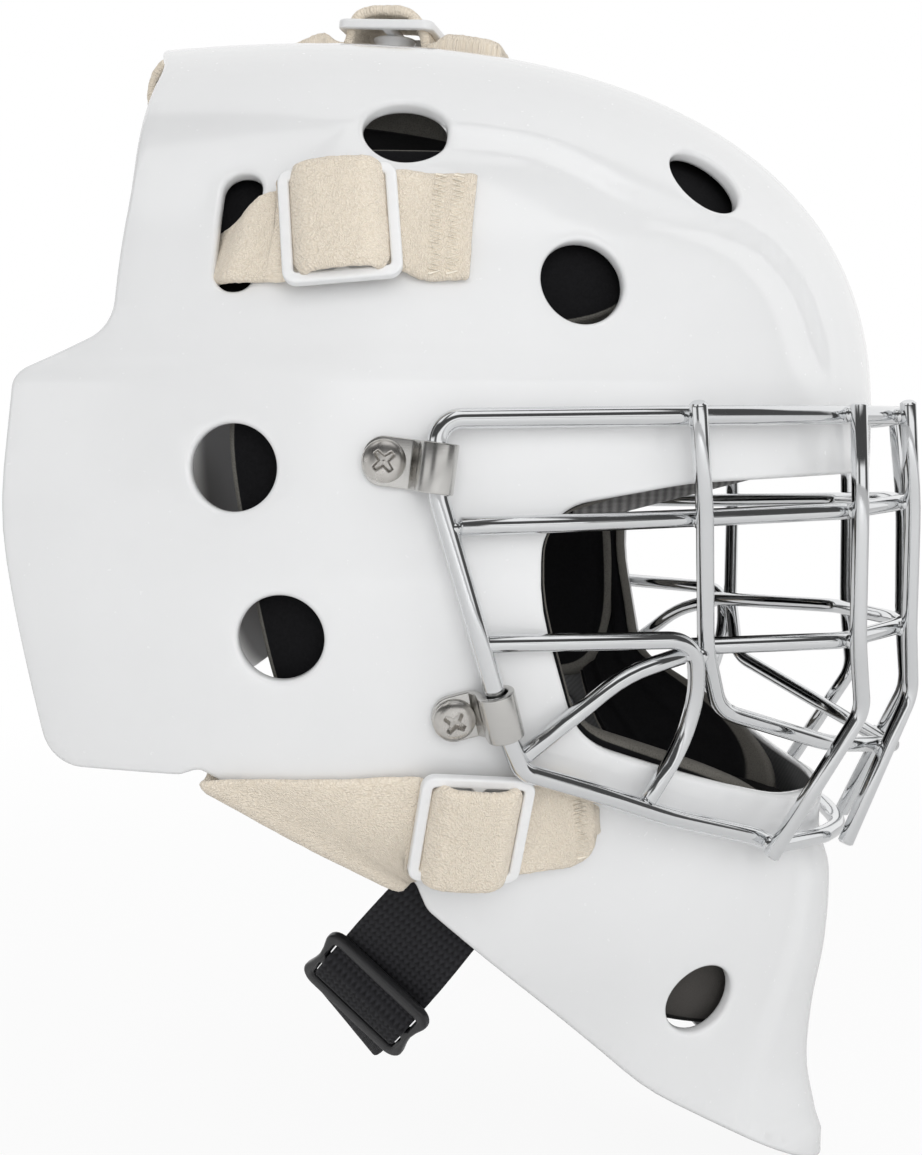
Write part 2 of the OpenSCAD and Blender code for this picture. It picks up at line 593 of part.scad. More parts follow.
// Closed solid between two grids of points, over -1 to 1 each way
module slab(face, back, m, n) {
    w = n + 1;
    half = (m + 1) * w;
    us = [for (i = [0:m]) -1 + 2 * i / m];
    vs = [for (j = [0:n]) -1 + 2 * j / n];
    border = concat([for (i = [0:m - 1]) i * w], [for (j = [0:n - 1]) m * w + j],
        [for (i = [m:-1:1]) i * w + n], [for (j = [n:-1:1]) j]);
    k = len(border);
    polyhedron(convexity = 4,
        points = concat([for (u = us, v = vs) face(u, v)], [for (u = us, v = vs) back(u, v)]),
        faces = concat(
            [for (i = [0:m - 1], j = [0:n - 1], f = [[[0, 0], [0, 1], [1, 1]], [[0, 0], [1, 1], [1, 0]]])
                [for (c = f) (i + c.x) * w + j + c.y]],
            [for (i = [0:m - 1], j = [0:n - 1], f = [[[0, 0], [1, 1], [0, 1]], [[0, 0], [1, 0], [1, 1]]])
                [for (c = f) half + (i + c.x) * w + j + c.y]],
            [for (i = [0:k - 1], f = [[0, 1, 3], [0, 3, 2]])
                let (a = border[i], b = border[(i + 1) % k], q = [a, b, a + half, b + half])
                [for (c = f) q[c]]]));
}
// Rivets of the straps, at their places across and up the plate
rivet_d = 3.5;
rivet_cap_d = 8;
top_rivet = [0, 0.72];
upper_rivet = [0.68, 0.43];
lower_rivet = [0.68, -0.45];
rivets = [top_rivet, for (k = [upper_rivet, lower_rivet], s = [-1, 1]) [s * k.x, k.y]];
function plate_normal(u, v) =
    let (d = 0.05, up = plate_point(u, v + d) - plate_point(u, v - d))
    unit(cross(up, plate_point(u + d, v) - plate_point(u - d, v)));
// Puts +Z on the plate's normal at a rivet
module at_rivet(k) {
    translate(plate_point(k.x, k.y)) aim(plate_normal(k.x, k.y)) children();
}
module rivet_hole(k, gap) {
    at_rivet(k) cylinder(h = 16, d = rivet_d + gap, center = true, $fn = 24);
}
module back_plate() {
    color("white") difference() {
        slab(function (u, v) plate_point(u, v) - [0, plate_t, 0], function (u, v) plate_point(u, v), 10, 8);
        for (k = rivets) rivet_hole(k, clear);
    }
}
module strap_rivets() {
    // Height of a rivet's cap over the plate, above one strap
    cap_z = strap_t + 1.9;
    for (k = rivets) color("gainsboro") at_rivet(k) {
        translate([0, 0, -plate_t]) cylinder(h = plate_t + cap_z + 0.2, d = rivet_d, $fn = 24);
        translate([0, 0, cap_z]) cylinder(h = 1, d = rivet_cap_d, $fn = 24);
    }
}
// A strap with its rivet's hole
module riveted(k) {
    difference() {
        children();
        rivet_hole(k, 2 * clear);
    }
}
// Thickness of a cushion over its patch: full in the middle, drawn in at its sides
function crowned(u, v) = 0.4 + 0.6 * sqrt(max(0, (1 - pow(u, 4)) * (1 - pow(v, 4))));
module back_plate_pad() {
    inset = 0.9;
    back = plate_t + 2 * inside;
    color("dimgray") slab(
        function (u, v) plate_point(u * inset, v * inset) - [0, back + 9 * crowned(u, v), 0],
        function (u, v) plate_point(u * inset, v * inset) - [0, back, 0], 10, 8);
}

// Chin strap

// Stand-off of what lies inside the shell, over the nuts and the studs
seat = wall + 2 * inside + nut_flange_t;
anchor_yz = [-20.5, -62];
// Where the strap's hinge crosses the webbing
anchor = side(anchor_yz.x, anchor_yz.y, -seat - web_t / 2) - [1.5, 0, 0];
// The way the strap hangs, and the way its front edge lies
hang = unit([0, 0.64, -0.77]);
fore = unit([0, -0.77, -0.64]);
// Straight part of the strap below its anchors
strand = 10;
slider_a = 147;
function web_x(a) = a <= 90 ? 1 : -1;
function web_turn(a) = 24 * abs(cos(a)) - (a > 90 ? 24 * sin(2 * a - 180) : 0);
// Middle, run, width direction and inward normal of the webbing at loop angle a, from left to right
function web_at(a, over = 0) =
    let (l = web_drop - strand)
    let (t = over > 0 ? hang * web_x(a) : unit([-anchor.x * sin(a), 0, 0] + hang * l * cos(a)))
    let (n = cross(t, fore), w = fore * cos(web_turn(a)) + n * sin(web_turn(a)))
    let (low = over > 0 ? strand - over : strand + l * sin(a))
    [[anchor.x * cos(a), anchor.y, anchor.z] + hang * low, t, w, cross(t, w)];
slider_t = 2.2;
slider_l = 24;
slider_hump = web_t + slider_t + 2 * inside;
function web_ring(k, lift) =
    let (h = k[2] * web_w / 2, n = k[3] * web_t / 2, p = k[0] - k[3] * lift)
    [p - h - n, p + h - n, p + h + n, p - h + n];
// Loop angles between which the webbing is threaded through the slider
bight = [slider_a - 19, slider_a + 19];
module chin_strap() {
    tail = strand + 7;
    color("black") difference() {
        union() {
            loft([web_ring(web_at(0, tail), 0), web_ring(web_at(0, 4), 0),
                for (a = [each [8:12:bight[0] - 6], bight[0]]) web_ring(web_at(a), 0)]);
            loft([web_ring(web_at(bight[1]), 0), web_ring(web_at(bight[1] + 6), 0),
                web_ring(web_at(180, 4), 0), web_ring(web_at(180, tail), 0)]);
        }
        for (s = [-1, 1]) on(s) at_anchor()
            cylinder(h = 12, d = snap_d + 2 * clear, center = true, $fn = 24);
    }
}
// The webbing rises over the slider's middle bar here
module chin_strap_bight() {
    rise = 3.5;
    dip = 6.5;
    flat = 11;
    turns = [bight[0] - slider_a, -flat, -dip, -rise, rise, dip, flat, bight[1] - slider_a];
    color("black") loft([for (a = turns)
        web_ring(web_at(slider_a + a), abs(a) < dip ? slider_hump : 0)]);
}
// Puts +Z on the hinge line, outwards from the left anchor
module at_anchor() {
    translate(anchor) rotate([0, 90, 0]) children();
}
snap_d = 4;
// The turned webbing needs this much room beside a snap's cap
snap_gap = 2.7;
module chin_strap_snaps() {
    wall_x = side(anchor_yz.x, anchor_yz.y, -wall).x - anchor.x;
    cap_t = 1.6;
    for (s = [-1, 1]) color("gainsboro") on(s) at_anchor() {
        translate([0, 0, -snap_gap - cap_t]) cylinder(h = wall_x + snap_gap + cap_t, d = snap_d, $fn = 24);
        translate([0, 0, -snap_gap - cap_t]) cylinder(h = cap_t, d = 8, $fn = 32);
    }
}
module chin_slider() {
    k = web_at(slider_a);
    half_w = web_w / 2 + clear + 3.6;
    bar = 3;
    window = (slider_l - 3 * bar - 1) / 2;
    corners = [[1, 1], [0, 0.86], [-1, 1], [-1, -1], [0, -0.86], [1, -1]];
    color("black") multmatrix([for (i = [0:2]) [k[1][i], -k[2][i], -k[3][i], k[0][i]]])
        translate([0, 0, web_t / 2 + inside]) difference() {
            linear_extrude(slider_t) polygon(rounded([for (c = corners)
                [c.x * slider_l / 2, c.y * half_w, c.x == 0 ? 20 : 4]]));
            for (i = [-1, 1]) translate([i * (bar + window) / 2, 0, slider_t / 2])
                cube([window, web_w + 2 * clear, slider_t + 2], center = true);
        }
}

// Liner

// Cushion between two plan angles and two heights, on the inside of the shell
module pad(t, z, thick, m = 10, n = 6) {
    tt = function (u, v) (t[0] + t[1]) / 2 + (t[1] - t[0]) / 2 * u * (1 - 0.12 * pow(v, 4));
    zz = function (u, v) (z[0] + z[1]) / 2 + (z[1] - z[0]) / 2 * v * (1 - 0.12 * pow(u, 4));
    slab(function (u, v) skin(tt(u, v), zz(u, v), -seat),
        function (u, v) skin(tt(u, v), zz(u, v), -seat - thick * crowned(u, v)), m, n);
}
module crown_cushion(x, y, thick, m = 8, n = 10) {
    xx = function (u, v) (x[0] + x[1]) / 2 + (x[1] - x[0]) / 2 * u * (1 - 0.12 * pow(v, 4));
    yy = function (u, v) (y[0] + y[1]) / 2 + (y[1] - y[0]) / 2 * v * (1 - 0.12 * pow(u, 4));
    slab(function (u, v) crown(xx(u, v), yy(u, v), -seat),
        function (u, v) crown(xx(u, v), yy(u, v), -seat - thick * crowned(u, v)), m, n);
}
brow_z = [35, 59];
brow_half_t = 46;
module brow_pad() {
    color("dimgray") pad([-brow_half_t, brow_half_t], brow_z, foam_t, 16, 6);
}
// How far the brow pad stands in from its seat at a plan angle and a height
function brow_in(t, z) =
    let (v = (2 * z - brow_z[0] - brow_z[1]) / (brow_z[1] - brow_z[0]), u = t / brow_half_t)
    foam_t * crowned(max(-1, min(1, u)), max(-1, min(1, v)));
band_top_z = 50;
band_low_z = 24;
module sweatband() {
    at = function (u, v) [(brow_half_t + 1) * u,
        (band_top_z + band_low_z) / 2 + (band_top_z - band_low_z) / 2 * v - 5 * u * u * (1 - v) / 2];
    off = function (u, v) let (p = at(u, v)) seat + brow_in(p[0], p[1]) + 1.2;
    color("gray") slab(function (u, v) let (p = at(u, v)) skin(p[0], p[1], -off(u, v)),
        function (u, v) let (p = at(u, v), t = band_t * (0.4 + 0.6 * crowned(u, v)))
            skin(p[0], p[1], -off(u, v) - t), 20, 8);
}
module crown_pad() {
    color("dimgray") crown_cushion([8, 52], [-48, 46], foam_t);
}
module side_pad() {
    color("dimgray") pad([59, 82], [45, 61], foam_t);
}
module ear_pad() {
    color("dimgray") pad([61.5, 80.5], [-37, 33], foam_t, 6, 12);
}
module jaw_pad() {
    color("dimgray") pad([27, 51], [-84, -50], jaw_t, 8, 6);
}
module chin_cup() {
    color("gray") pad([-24, 24], [-106, -70], 11, 10, 6);
}
// Hook-and-loop discs that hold the cushions, as [plan angle, height], and as [x, y] on the crown
patches = [[30, 47], [70, 53], [72, -2], [72, 16], [40, -67], [14, -88]];
crown_patches = [[30, -25], [30, 25]];
patch_d = 13;
module patch(p, n) {
    translate(p - n * (seat - inside)) aim(n)
        cylinder(h = seat - wall - 2.6 * inside, d = patch_d, $fn = 24);
}
module pad_fasteners() {
    for (s = [-1, 1]) color("black") on(s) {
        for (k = patches) patch(bare(k[0], k[1]), normal_at(k[0], k[1]));
        for (k = crown_patches) patch(crown(k[0], k[1]), crown_normal(k[0], k[1]));
    }
}

shell();
cage_rim();
cage_eye_bar();
cage_lower_bar();
cage_outer_loop();
on(1) cage_inner_post();  // cage_inner_post_left
on(-1) cage_inner_post();  // cage_inner_post_right
on(1) cage_centre_post();  // cage_centre_post_left
on(-1) cage_centre_post();  // cage_centre_post_right
on(1) cage_hook();  // cage_hook_left
on(-1) cage_hook();  // cage_hook_right
on(1) cage_brace();  // cage_brace_left
on(-1) cage_brace();  // cage_brace_right
on(1) clip(clips[0]);  // clip_upper_left
on(-1) clip(clips[0]);  // clip_upper_right
on(1) clip(clips[1]);  // clip_lower_left
on(-1) clip(clips[1]);  // clip_lower_right
cage_screws();
cage_t_nuts();
riveted(top_rivet) top_strap();
riveted(upper_rivet) upper_strap();  // upper_strap_left
on(-1) riveted(upper_rivet) upper_strap();  // upper_strap_right
riveted(lower_rivet) lower_strap();  // lower_strap_left
on(-1) riveted(lower_rivet) lower_strap();  // lower_strap_right
top_buckle();
on(1) side_buckle(side_buckles[0]);  // upper_buckle_left
on(-1) side_buckle(side_buckles[0]);  // upper_buckle_right
on(1) side_buckle(side_buckles[1]);  // lower_buckle_left
on(-1) side_buckle(side_buckles[1]);  // lower_buckle_right
buckle_studs();
back_plate();
back_plate_pad();
strap_rivets();
chin_strap();
chin_strap_bight();
chin_slider();
chin_strap_snaps();
brow_pad();
sweatband();
on(1) crown_pad();  // crown_pad_left
on(-1) crown_pad();  // crown_pad_right
on(1) side_pad();  // side_pad_left
on(-1) side_pad();  // side_pad_right
on(1) ear_pad();  // ear_pad_left
on(-1) ear_pad();  // ear_pad_right
on(1) jaw_pad();  // jaw_pad_left
on(-1) jaw_pad();  // jaw_pad_right
chin_cup();
pad_fasteners();
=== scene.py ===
# %% [markdown]
# # A goalie mask around a fixed frame
# The construction of this mask is a CAD model, and this lesson gives it its looks. The CAD pieces are
# loaded first and are never moved. Each piece that should look better than a plain solid is made again as
# a mesh on the same formulas and hides the CAD piece it stands for. Most pieces ride on a body; the straps
# ride on none.

# %% Load the frame
import math

import bmesh
import bpy
import numpy as np
from mathutils import Matrix, Vector


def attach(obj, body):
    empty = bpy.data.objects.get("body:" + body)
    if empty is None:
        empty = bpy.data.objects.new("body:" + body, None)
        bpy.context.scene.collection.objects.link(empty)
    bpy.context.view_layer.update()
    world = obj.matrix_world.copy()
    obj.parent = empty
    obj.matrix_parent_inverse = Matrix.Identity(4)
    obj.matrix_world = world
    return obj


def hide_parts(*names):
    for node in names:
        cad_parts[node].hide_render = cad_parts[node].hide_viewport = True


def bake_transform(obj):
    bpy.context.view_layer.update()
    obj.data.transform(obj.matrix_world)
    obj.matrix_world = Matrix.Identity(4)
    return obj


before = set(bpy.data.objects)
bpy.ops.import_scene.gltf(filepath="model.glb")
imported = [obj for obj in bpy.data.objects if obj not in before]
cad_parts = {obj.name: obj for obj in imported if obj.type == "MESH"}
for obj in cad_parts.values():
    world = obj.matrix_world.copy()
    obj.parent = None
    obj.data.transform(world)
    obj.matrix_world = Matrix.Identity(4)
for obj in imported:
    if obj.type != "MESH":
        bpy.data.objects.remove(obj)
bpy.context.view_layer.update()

# %% [markdown]
# ## Helpers for points
# Blender works in metres, and a maker of helmets thinks in millimetres. All points here are numpy arrays
# in millimetres, because numpy can work on thousands of points in one line, and they are scaled once,
# when a mesh is made. Angles are in degrees.

# %% Vectors and meshes
MM = 0.001


def sind(a):
    return np.sin(np.radians(a))


def cosd(a):
    return np.cos(np.radians(a))


def unit(v):
    """The same direction with length 1."""
    v = np.asarray(v, float)
    return v / np.maximum(np.linalg.norm(v, axis=-1, keepdims=True), 1e-12)


def ease(x):
    """0 below 0, 1 above 1, smooth between."""
    x = np.clip(x, 0, 1)
    return x * x * (3 - 2 * x)


def flipped(p):
    """The mirror image of points on the other side."""
    return np.asarray(p, float) * [-1, 1, 1]


def shown(name, data):
    """A new object in the scene for a mesh, a curve, a lamp or a camera."""
    piece = bpy.data.objects.new(name, data)
    bpy.context.scene.collection.objects.link(piece)
    return piece


def new_mesh(name, points, faces, finish, uv=None, marks=None):
    """An object with a smooth mesh; uv and marks hold values or directions for each point."""
    mesh = bpy.data.meshes.new(name)
    mesh.from_pydata((np.asarray(points) * MM).tolist(), [], [list(map(int, f)) for f in faces])
    mesh.polygons.foreach_set("use_smooth", [True] * len(mesh.polygons))
    if uv is not None:
        corner = np.zeros(len(mesh.loops), int)
        mesh.loops.foreach_get("vertex_index", corner)
        mesh.uv_layers.new(name="Run").data.foreach_set("uv", np.asarray(uv, np.float32)[corner].ravel())
    for key, values in (marks or {}).items():
        kind, field = ("FLOAT", "value") if np.ndim(values) == 1 else ("FLOAT_VECTOR", "vector")
        mesh.attributes.new(key, kind, "POINT").data.foreach_set(field, np.asarray(values, np.float32).ravel())
    mesh.materials.append(finish)
    return shown(name, mesh)


def mirrored(piece, name):
    """The same piece on the other side, with its faces turned the right way again."""
    other = piece.copy()
    other.data = piece.data.copy()
    other.name = other.data.name = name
    bpy.context.scene.collection.objects.link(other)
    other.data.transform(Matrix.Diagonal((-1, 1, 1, 1)))
    other.data.flip_normals()
    return other


def settle(piece, body, slot, nodes=()):
    """Puts the piece on its body and hides the CAD nodes it stands for. slot is not used."""
    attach(piece, body)
    if nodes:
        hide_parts(*nodes)
    return piece


def settle_pair(piece, body, slot, node=""):
    """Settles a left piece and its mirror image, in whose names "left" becomes "right"."""
    other = mirrored(piece, piece.name.replace("left", "right"))
    for p, n in ((piece, node), (other, node.replace("left", "right"))):
        settle(p, body, slot, [n] if n else [])
    return piece, other


# %% [markdown]
# ## The form of the head
# The shell, the pads and the straps all follow one form. At each height its section is a rounded oval
# whose width and front reach come from two tables, and a third table says how square the oval is. The
# same tables shape the CAD solids, so a piece made from them lies where the CAD piece lies.

# %% The form
# Half width, reach to the front and to the back, and the Y of the widest section
SHELL_HALF_W, SHELL_FRONT, SHELL_BACK, WIDEST_Y = 110, 151, 150, 45
# The dome of the crown: where it starts, its height, and how square its curve is
CROWN_Z, CROWN_H, DOME_N = 40, 96.5, 2.4
# The shell's wall, the lowest height of the form, and the gaps left between pieces outside and inside
WALL, FORM_Z0 = 3.5, -154
CLEAR, INSIDE = 0.3, 0.5
# What the half width and the front reach lose at each height, and how round the section is there
NARROWING = np.array([[-154, 57], [-120, 44], [-100, 34], [-80, 22], [-60, 13], [-40, 7], [-20, 3],
                      [0, 0.5], [20, 0], [45, 0], [49, 0], [56, 2], [66, 2]], float)
SETBACK = np.array([[-154, 11], [-140, 12.5], [-126, 15], [-110, 14], [-93, 11], [-75, 10], [-60, 11.5],
                    [-45, 9], [-30, 6], [0, 2.5], [20, 1], [36, 0]], float)
ROUNDNESS = np.array([[-154, 1.8], [-60, 1.8], [-30, 2], [0, 2.2], [20, 2.2]], float)


def smooth(table, z):
    """Value of a smooth curve through a table of heights and values, level past its ends."""
    i = np.clip(np.searchsorted(table[:, 0], z) - 1, 0, len(table) - 2)
    rise = np.diff(table[:, 1]) / np.diff(table[:, 0])
    slope = np.concatenate([rise[:1], (rise[:-1] + rise[1:]) / 2, [0]])
    h = table[i + 1, 0] - table[i, 0]
    u = np.clip((z - table[i, 0]) / h, 0, 1)
    a, b, p, q = table[i, 1], table[i + 1, 1], slope[i] * h, slope[i + 1] * h
    return a + u * (p + u * (3 * (b - a) - 2 * p - q + u * (p + q - 2 * (b - a))))


def half_at(z):
    """Half width of the form at a height."""
    return SHELL_HALF_W - smooth(NARROWING, z)


def front_at(z):
    """Reach to the front at a height."""
    return SHELL_FRONT - smooth(SETBACK, z)


def dome(z):
    """Share of the full section that is left at a height on the crown."""
    k = np.clip((z - CROWN_Z) / CROWN_H, 0, 1)
    return (1 - k ** DOME_N) ** (1 / DOME_N)


def form_point(t, z, s):
    """Point at plan angle t, 0 in front and 90 on the left, at height z, with section size s."""
    t, z, s = np.broadcast_arrays(np.asarray(t, float), np.asarray(z, float), np.asarray(s, float))
    c, d, e = cosd(t), sind(t), 2 / smooth(ROUNDNESS, z)
    x = np.sign(d) * np.abs(d) ** e * half_at(z) * s
    y = WIDEST_Y - np.sign(c) * np.abs(c) ** e * np.where(c > 0, front_at(z), SHELL_BACK) * s
    return np.stack([x, y, z], -1)


def bare(t, z):
    """Point of the form at a plan angle and a height."""
    return form_point(t, z, dome(z))


def normal_at(t, z):
    return unit(np.cross(bare(t + 1, z) - bare(t - 1, z), bare(t, z + 1) - bare(t, z - 1)))


def skin(t, z, off=0.0):
    """Point at a distance off the form, inside it where off is below 0."""
    return bare(t, z) + normal_at(t, z) * np.asarray(off, float)[..., None]


def turn(y, z):
    """Plan angle at which the form's left side has the given Y."""
    s, n = dome(z), smooth(ROUNDNESS, z)
    ahead = np.clip((WIDEST_Y - y) / (front_at(z) * s), 0, 1)
    behind = np.clip((y - WIDEST_Y) / (SHELL_BACK * s), 0, 1)
    return np.where(y <= WIDEST_Y, np.degrees(np.arccos(ahead ** (n / 2))),
                    180 - np.degrees(np.arccos(behind ** (n / 2))))


def side(y, z, off=0.0):
    """Point on the left side with a given Y and height, at a distance off the form."""
    y, z = np.asarray(y, float), np.asarray(z, float)
    return skin(turn(y, z), z, off)


def side_normal(y, z):
    return normal_at(turn(np.asarray(y, float), np.asarray(z, float)), np.asarray(z, float))


CROWN_TOP = CROWN_Z + CROWN_H


def crown_bare(x, y):
    """Point of the crown over a place in plan."""
    x, y = np.broadcast_arrays(np.asarray(x, float), np.asarray(y, float))
    n = smooth(ROUNDNESS, CROWN_TOP)
    a = np.where(y < WIDEST_Y, front_at(CROWN_TOP), SHELL_BACK)
    s = (np.abs(x / half_at(CROWN_TOP)) ** n + np.abs((y - WIDEST_Y) / a) ** n) ** (1 / n)
    return np.stack([x, y, CROWN_Z + CROWN_H * np.maximum(0, 1 - s ** DOME_N) ** (1 / DOME_N)], -1)


def crown_normal(x, y):
    return unit(np.cross(crown_bare(x + 1, y) - crown_bare(x - 1, y), crown_bare(x, y + 1) - crown_bare(x, y - 1)))


def crown(x, y, off=0.0):
    """Point over a place in plan, at a distance off the crown."""
    return crown_bare(x, y) + crown_normal(x, y) * np.asarray(off, float)[..., None]


print("brow of the form:", bare(0, 30).round(1), "side:", side(0, 0).round(1))

# %% [markdown]
# ## Finishes as small formulas
# A material is a graph of nodes. Written out link by link it is hard to read, so this small class lets a
# node's output be used like a number: adding or multiplying two of them adds the Math nodes. One method
# makes any other node from its type, its settings and the values or links of its sockets.


# %% A class for shader formulas
class Value:
    """A node's output inside one finish, which can be used in sums."""

    def __init__(self, finish, socket):
        self.finish, self.socket = finish, socket

    def calc(self, operation, *others):
        return self.finish.node("ShaderNodeMath", {"operation": operation}, [self, *others])

    def __add__(self, other):
        return self.calc("ADD", other)

    def __sub__(self, other):
        return self.calc("SUBTRACT", other)

    def __rsub__(self, other):
        return self.finish.node("ShaderNodeMath", {"operation": "SUBTRACT"}, [other, self])

    def __mul__(self, other):
        return self.calc("MULTIPLY", other)

    __radd__, __rmul__ = __add__, __mul__

    def between(self, low, high):
        """0 below low, 1 above high, smooth between."""
        return self.finish.node("ShaderNodeMapRange", {"interpolation_type": "SMOOTHSTEP"},
                                {"Value": self, "From Min": low, "From Max": high})


class Finish:
    """A material with one Principled shader."""

    def __init__(self, name, **constants):
        self.material = bpy.data.materials.new(name)
        self.material.use_nodes = True
        self.tree = self.material.node_tree
        self.shader = self.tree.nodes["Principled BSDF"]
        self.set(**constants)

    def put(self, socket, value):
        if isinstance(value, Value):
            self.tree.links.new(value.socket, socket)
        else:
            socket.default_value = (*value, 1) if hasattr(value, "__len__") and socket.type == "RGBA" else value

    def set(self, **sockets):
        for key, value in sockets.items():
            self.put(self.shader.inputs[key.replace("_", " ").title().replace("Ior", "IOR")], value)

    def node(self, kind, settings, sockets, out=0):
        made = self.tree.nodes.new(kind)
        for key, value in settings.items():
            setattr(made, key, value)
        pairs = sockets.items() if isinstance(sockets, dict) else enumerate(sockets)
        for key, value in pairs:
            self.put(made.inputs[key], value)
        return Value(self, made.outputs[out])

    def place(self):
        """Object coordinates, in metres."""
        return self.node("ShaderNodeTexCoord", {}, {}, "Object")

    def mark(self, name):
        return self.node("ShaderNodeAttribute", {"attribute_name": name}, {}, "Fac")

    def run(self):
        """Distance along a strap and across it, in millimetres, as two values."""
        uv = self.node("ShaderNodeUVMap", {"uv_map": "Run"}, {})
        split = self.node("ShaderNodeSeparateXYZ", {}, [uv]).socket.node
        return Value(self, split.outputs[0]), Value(self, split.outputs[1])

    def vector(self, x, y):
        return self.node("ShaderNodeCombineXYZ", {}, [x, y])

    def noise(self, where, scale, detail=2, rough=0.5, **more):
        sockets = {"Vector": where, "Scale": scale, "Detail": detail, "Roughness": rough, **more}
        return self.node("ShaderNodeTexNoise", {}, sockets, "Fac")

    def cells(self, where, scale):
        return self.node("ShaderNodeTexVoronoi", {}, {"Vector": where, "Scale": scale}, "Distance")

    def mix(self, share, a, b):
        """Colour a where share is 0, b where it is 1."""
        return self.node("ShaderNodeMix", {"data_type": "RGBA"}, {0: share, 6: a, 7: b}, 2)

    def bump(self, height, depth, strength=1.0):
        self.set(normal=self.node("ShaderNodeBump", {}, {"Height": height, "Distance": depth * MM,
                                                         "Strength": strength}))


# %% [markdown]
# ## Moulded shell plastic
# The shell is a glossy moulded laminate, painted white. Under a clear coat it has faint waviness from the
# lay-up and a very fine orange peel, which break up the reflections. A little dust dulls it unevenly. The
# inside isn't painted white and has no coat: it shows the weave of its cloth, and its dark grey is painted
# shade that keeps the inside of the shell dark.

# %% Shell plastic
shell_plastic = Finish("shell_plastic", ior=1.48, coat_roughness=0.04, coat_ior=1.5)
at = shell_plastic.place()
haze = shell_plastic.noise(at, 38, 3)
specks = shell_plastic.noise(at, 900, 1).between(0.73, 0.8)
peel = shell_plastic.noise(at, 620, 2)
sag = shell_plastic.noise(at, 22, 1)
painted = shell_plastic.mix(haze, (0.775, 0.78, 0.785), (0.815, 0.82, 0.825))
cloth = shell_plastic.node("ShaderNodeTexWave", {"bands_direction": "DIAGONAL"},
                           {"Vector": at, "Scale": 260, "Distortion": 2.0, "Detail Scale": 3.0}, "Fac")
# The inner face's dark grey is painted shade for the inside of the shell; the weave over it is the cloth of the
# laminate.
laminate_shade = shell_plastic.mix(cloth * 0.5 + haze * 0.5, (0.085, 0.087, 0.09), (0.15, 0.152, 0.155))
inside = shell_plastic.mark("inside")
shell_plastic.set(base_color=shell_plastic.mix(inside, painted, laminate_shade),
                  roughness=haze * 0.12 + 0.17 + specks * 0.08 + inside * 0.3,
                  coat_weight=(1 - inside) * (0.75 - specks * 0.3))
shell_plastic.bump(peel * 0.03 + sag, 0.35, 0.35)
print("shell plastic:", len(shell_plastic.tree.nodes), "nodes")

# %% [markdown]
# ## Outlines with rounded corners
# The shell's lower edge, the face port and the strap slots are drawn from the side, as polygons whose
# corners have a radius. The radius is put in with one function for all of them, which also bends the
# wires of the cage later on.


# %% Rounded corners and distances to an outline
def soft_corner(a, p, b, r, step=7.0):
    """Points of the arc that rounds the corner p between a and b."""
    u, v = unit(a - p), unit(b - p)
    half = math.degrees(math.acos(np.clip(u @ v, -1, 1))) / 2
    opening = 180 - 2 * half
    if r == 0 or opening < 2:
        return [p]
    d = min(r / math.tan(math.radians(half)), 0.48 * np.linalg.norm(a - p), 0.48 * np.linalg.norm(b - p))
    c = p + unit(u + v) * d / cosd(half)
    s, e, n = p + u * d - c, p + v * d - c, max(2, math.ceil(opening / step))
    return [c + (s * sind(opening * (n - i) / n) + e * sind(opening * i / n)) / sind(opening) for i in range(n + 1)]


def bent(route, closed=False, step=7.0):
    """Route with rounded bends, from pairs of a point and a bend radius."""
    points = [np.asarray(p, float) for p, _ in route]
    m, out = len(points), []
    for i, (_, r) in enumerate(route):
        if not closed and i in (0, m - 1):
            out.append(points[i])
        else:
            out += soft_corner(points[i - 1], points[i], points[(i + 1) % m], r, step)
    return np.array(out)


def outline(corners):
    """Closed outline from corners of Y, Z and radius."""
    return bent([((y, z), r) for y, z, r in corners], closed=True)


def inside_by(p, loop):
    """Distance of the points p to a closed outline, above 0 inside it."""
    best, odd = np.full(p.shape[:-1], 1e9), np.zeros(p.shape[:-1], bool)
    for a, b in zip(loop, np.roll(loop, -1, 0)):
        d, q = b - a, p - a
        k = np.clip((q @ d) / max(d @ d, 1e-9), 0, 1)[..., None]
        best = np.minimum(best, np.linalg.norm(q - k * d, axis=-1))
        crosses = (a[1] > p[..., 1]) != (b[1] > p[..., 1])
        rise = d[1] if abs(d[1]) > 1e-12 else 1e-12
        odd ^= crosses & (p[..., 0] < a[0] + (p[..., 1] - a[1]) * d[0] / rise)
    return np.where(odd, best, -best)


STRAP_W, STRAP_T = 23, 2.6
SLOT_Y, SLOT_Z, SLOT_W = 29, 80, 8.6
PORT_TOP, PORT_BOTTOM, PORT_BACK = 30, -54, -35
# Corners seen from the side, as Y, Z and radius
SHELL_EDGE = outline([(-150, 170, 0), (80, 170, 0), (74, 138, 6), (57.5, 124, 14), (54, 90, 60), (55.5, 60, 9),
                      (77.5, 50.5, 6), (81.5, 20, 70), (73, -35.5, 9), (42.5, -36.5, 4), (38, -35, 3),
                      (-6, -61.8, 4), (-8, -69, 6), (-54, -122.5, 60), (-95, -150.5, 3), (-150, -150.5, 0)])
PORT_EDGE = outline([(-160, PORT_TOP + 1, 0), (-66, PORT_TOP - 3.5, 60), (PORT_BACK - 1, PORT_TOP - 9, 14),
                     (PORT_BACK, 2, 60), (-42, -30, 16), (-66, -41, 50), (-86, PORT_BOTTOM + 4, 30),
                     (-160, PORT_BOTTOM - 9, 0)])
SLOT_EDGE = outline([(SLOT_Y + a * SLOT_W / 2, SLOT_Z + b * (STRAP_W / 2 + 1.5), 4)
                     for a, b in ((1, 1), (-1, 1), (-1, -1), (1, -1))])
VENT_D = 18.5
# Centre and direction of each vent on the left: four on the side and two on the crown
VENTS = [(side(y, z), side_normal(y, z)) for y, z in ((28, 30), (18.5, -6), (-43, 69.5), (-66.5, -99))]
VENTS += [(crown(x, y), crown_normal(x, y)) for x, y in ((84, -3.5), (57, -67))]
print("corners of the shell's edge:", len(SHELL_EDGE), "vents on each side:", len(VENTS))

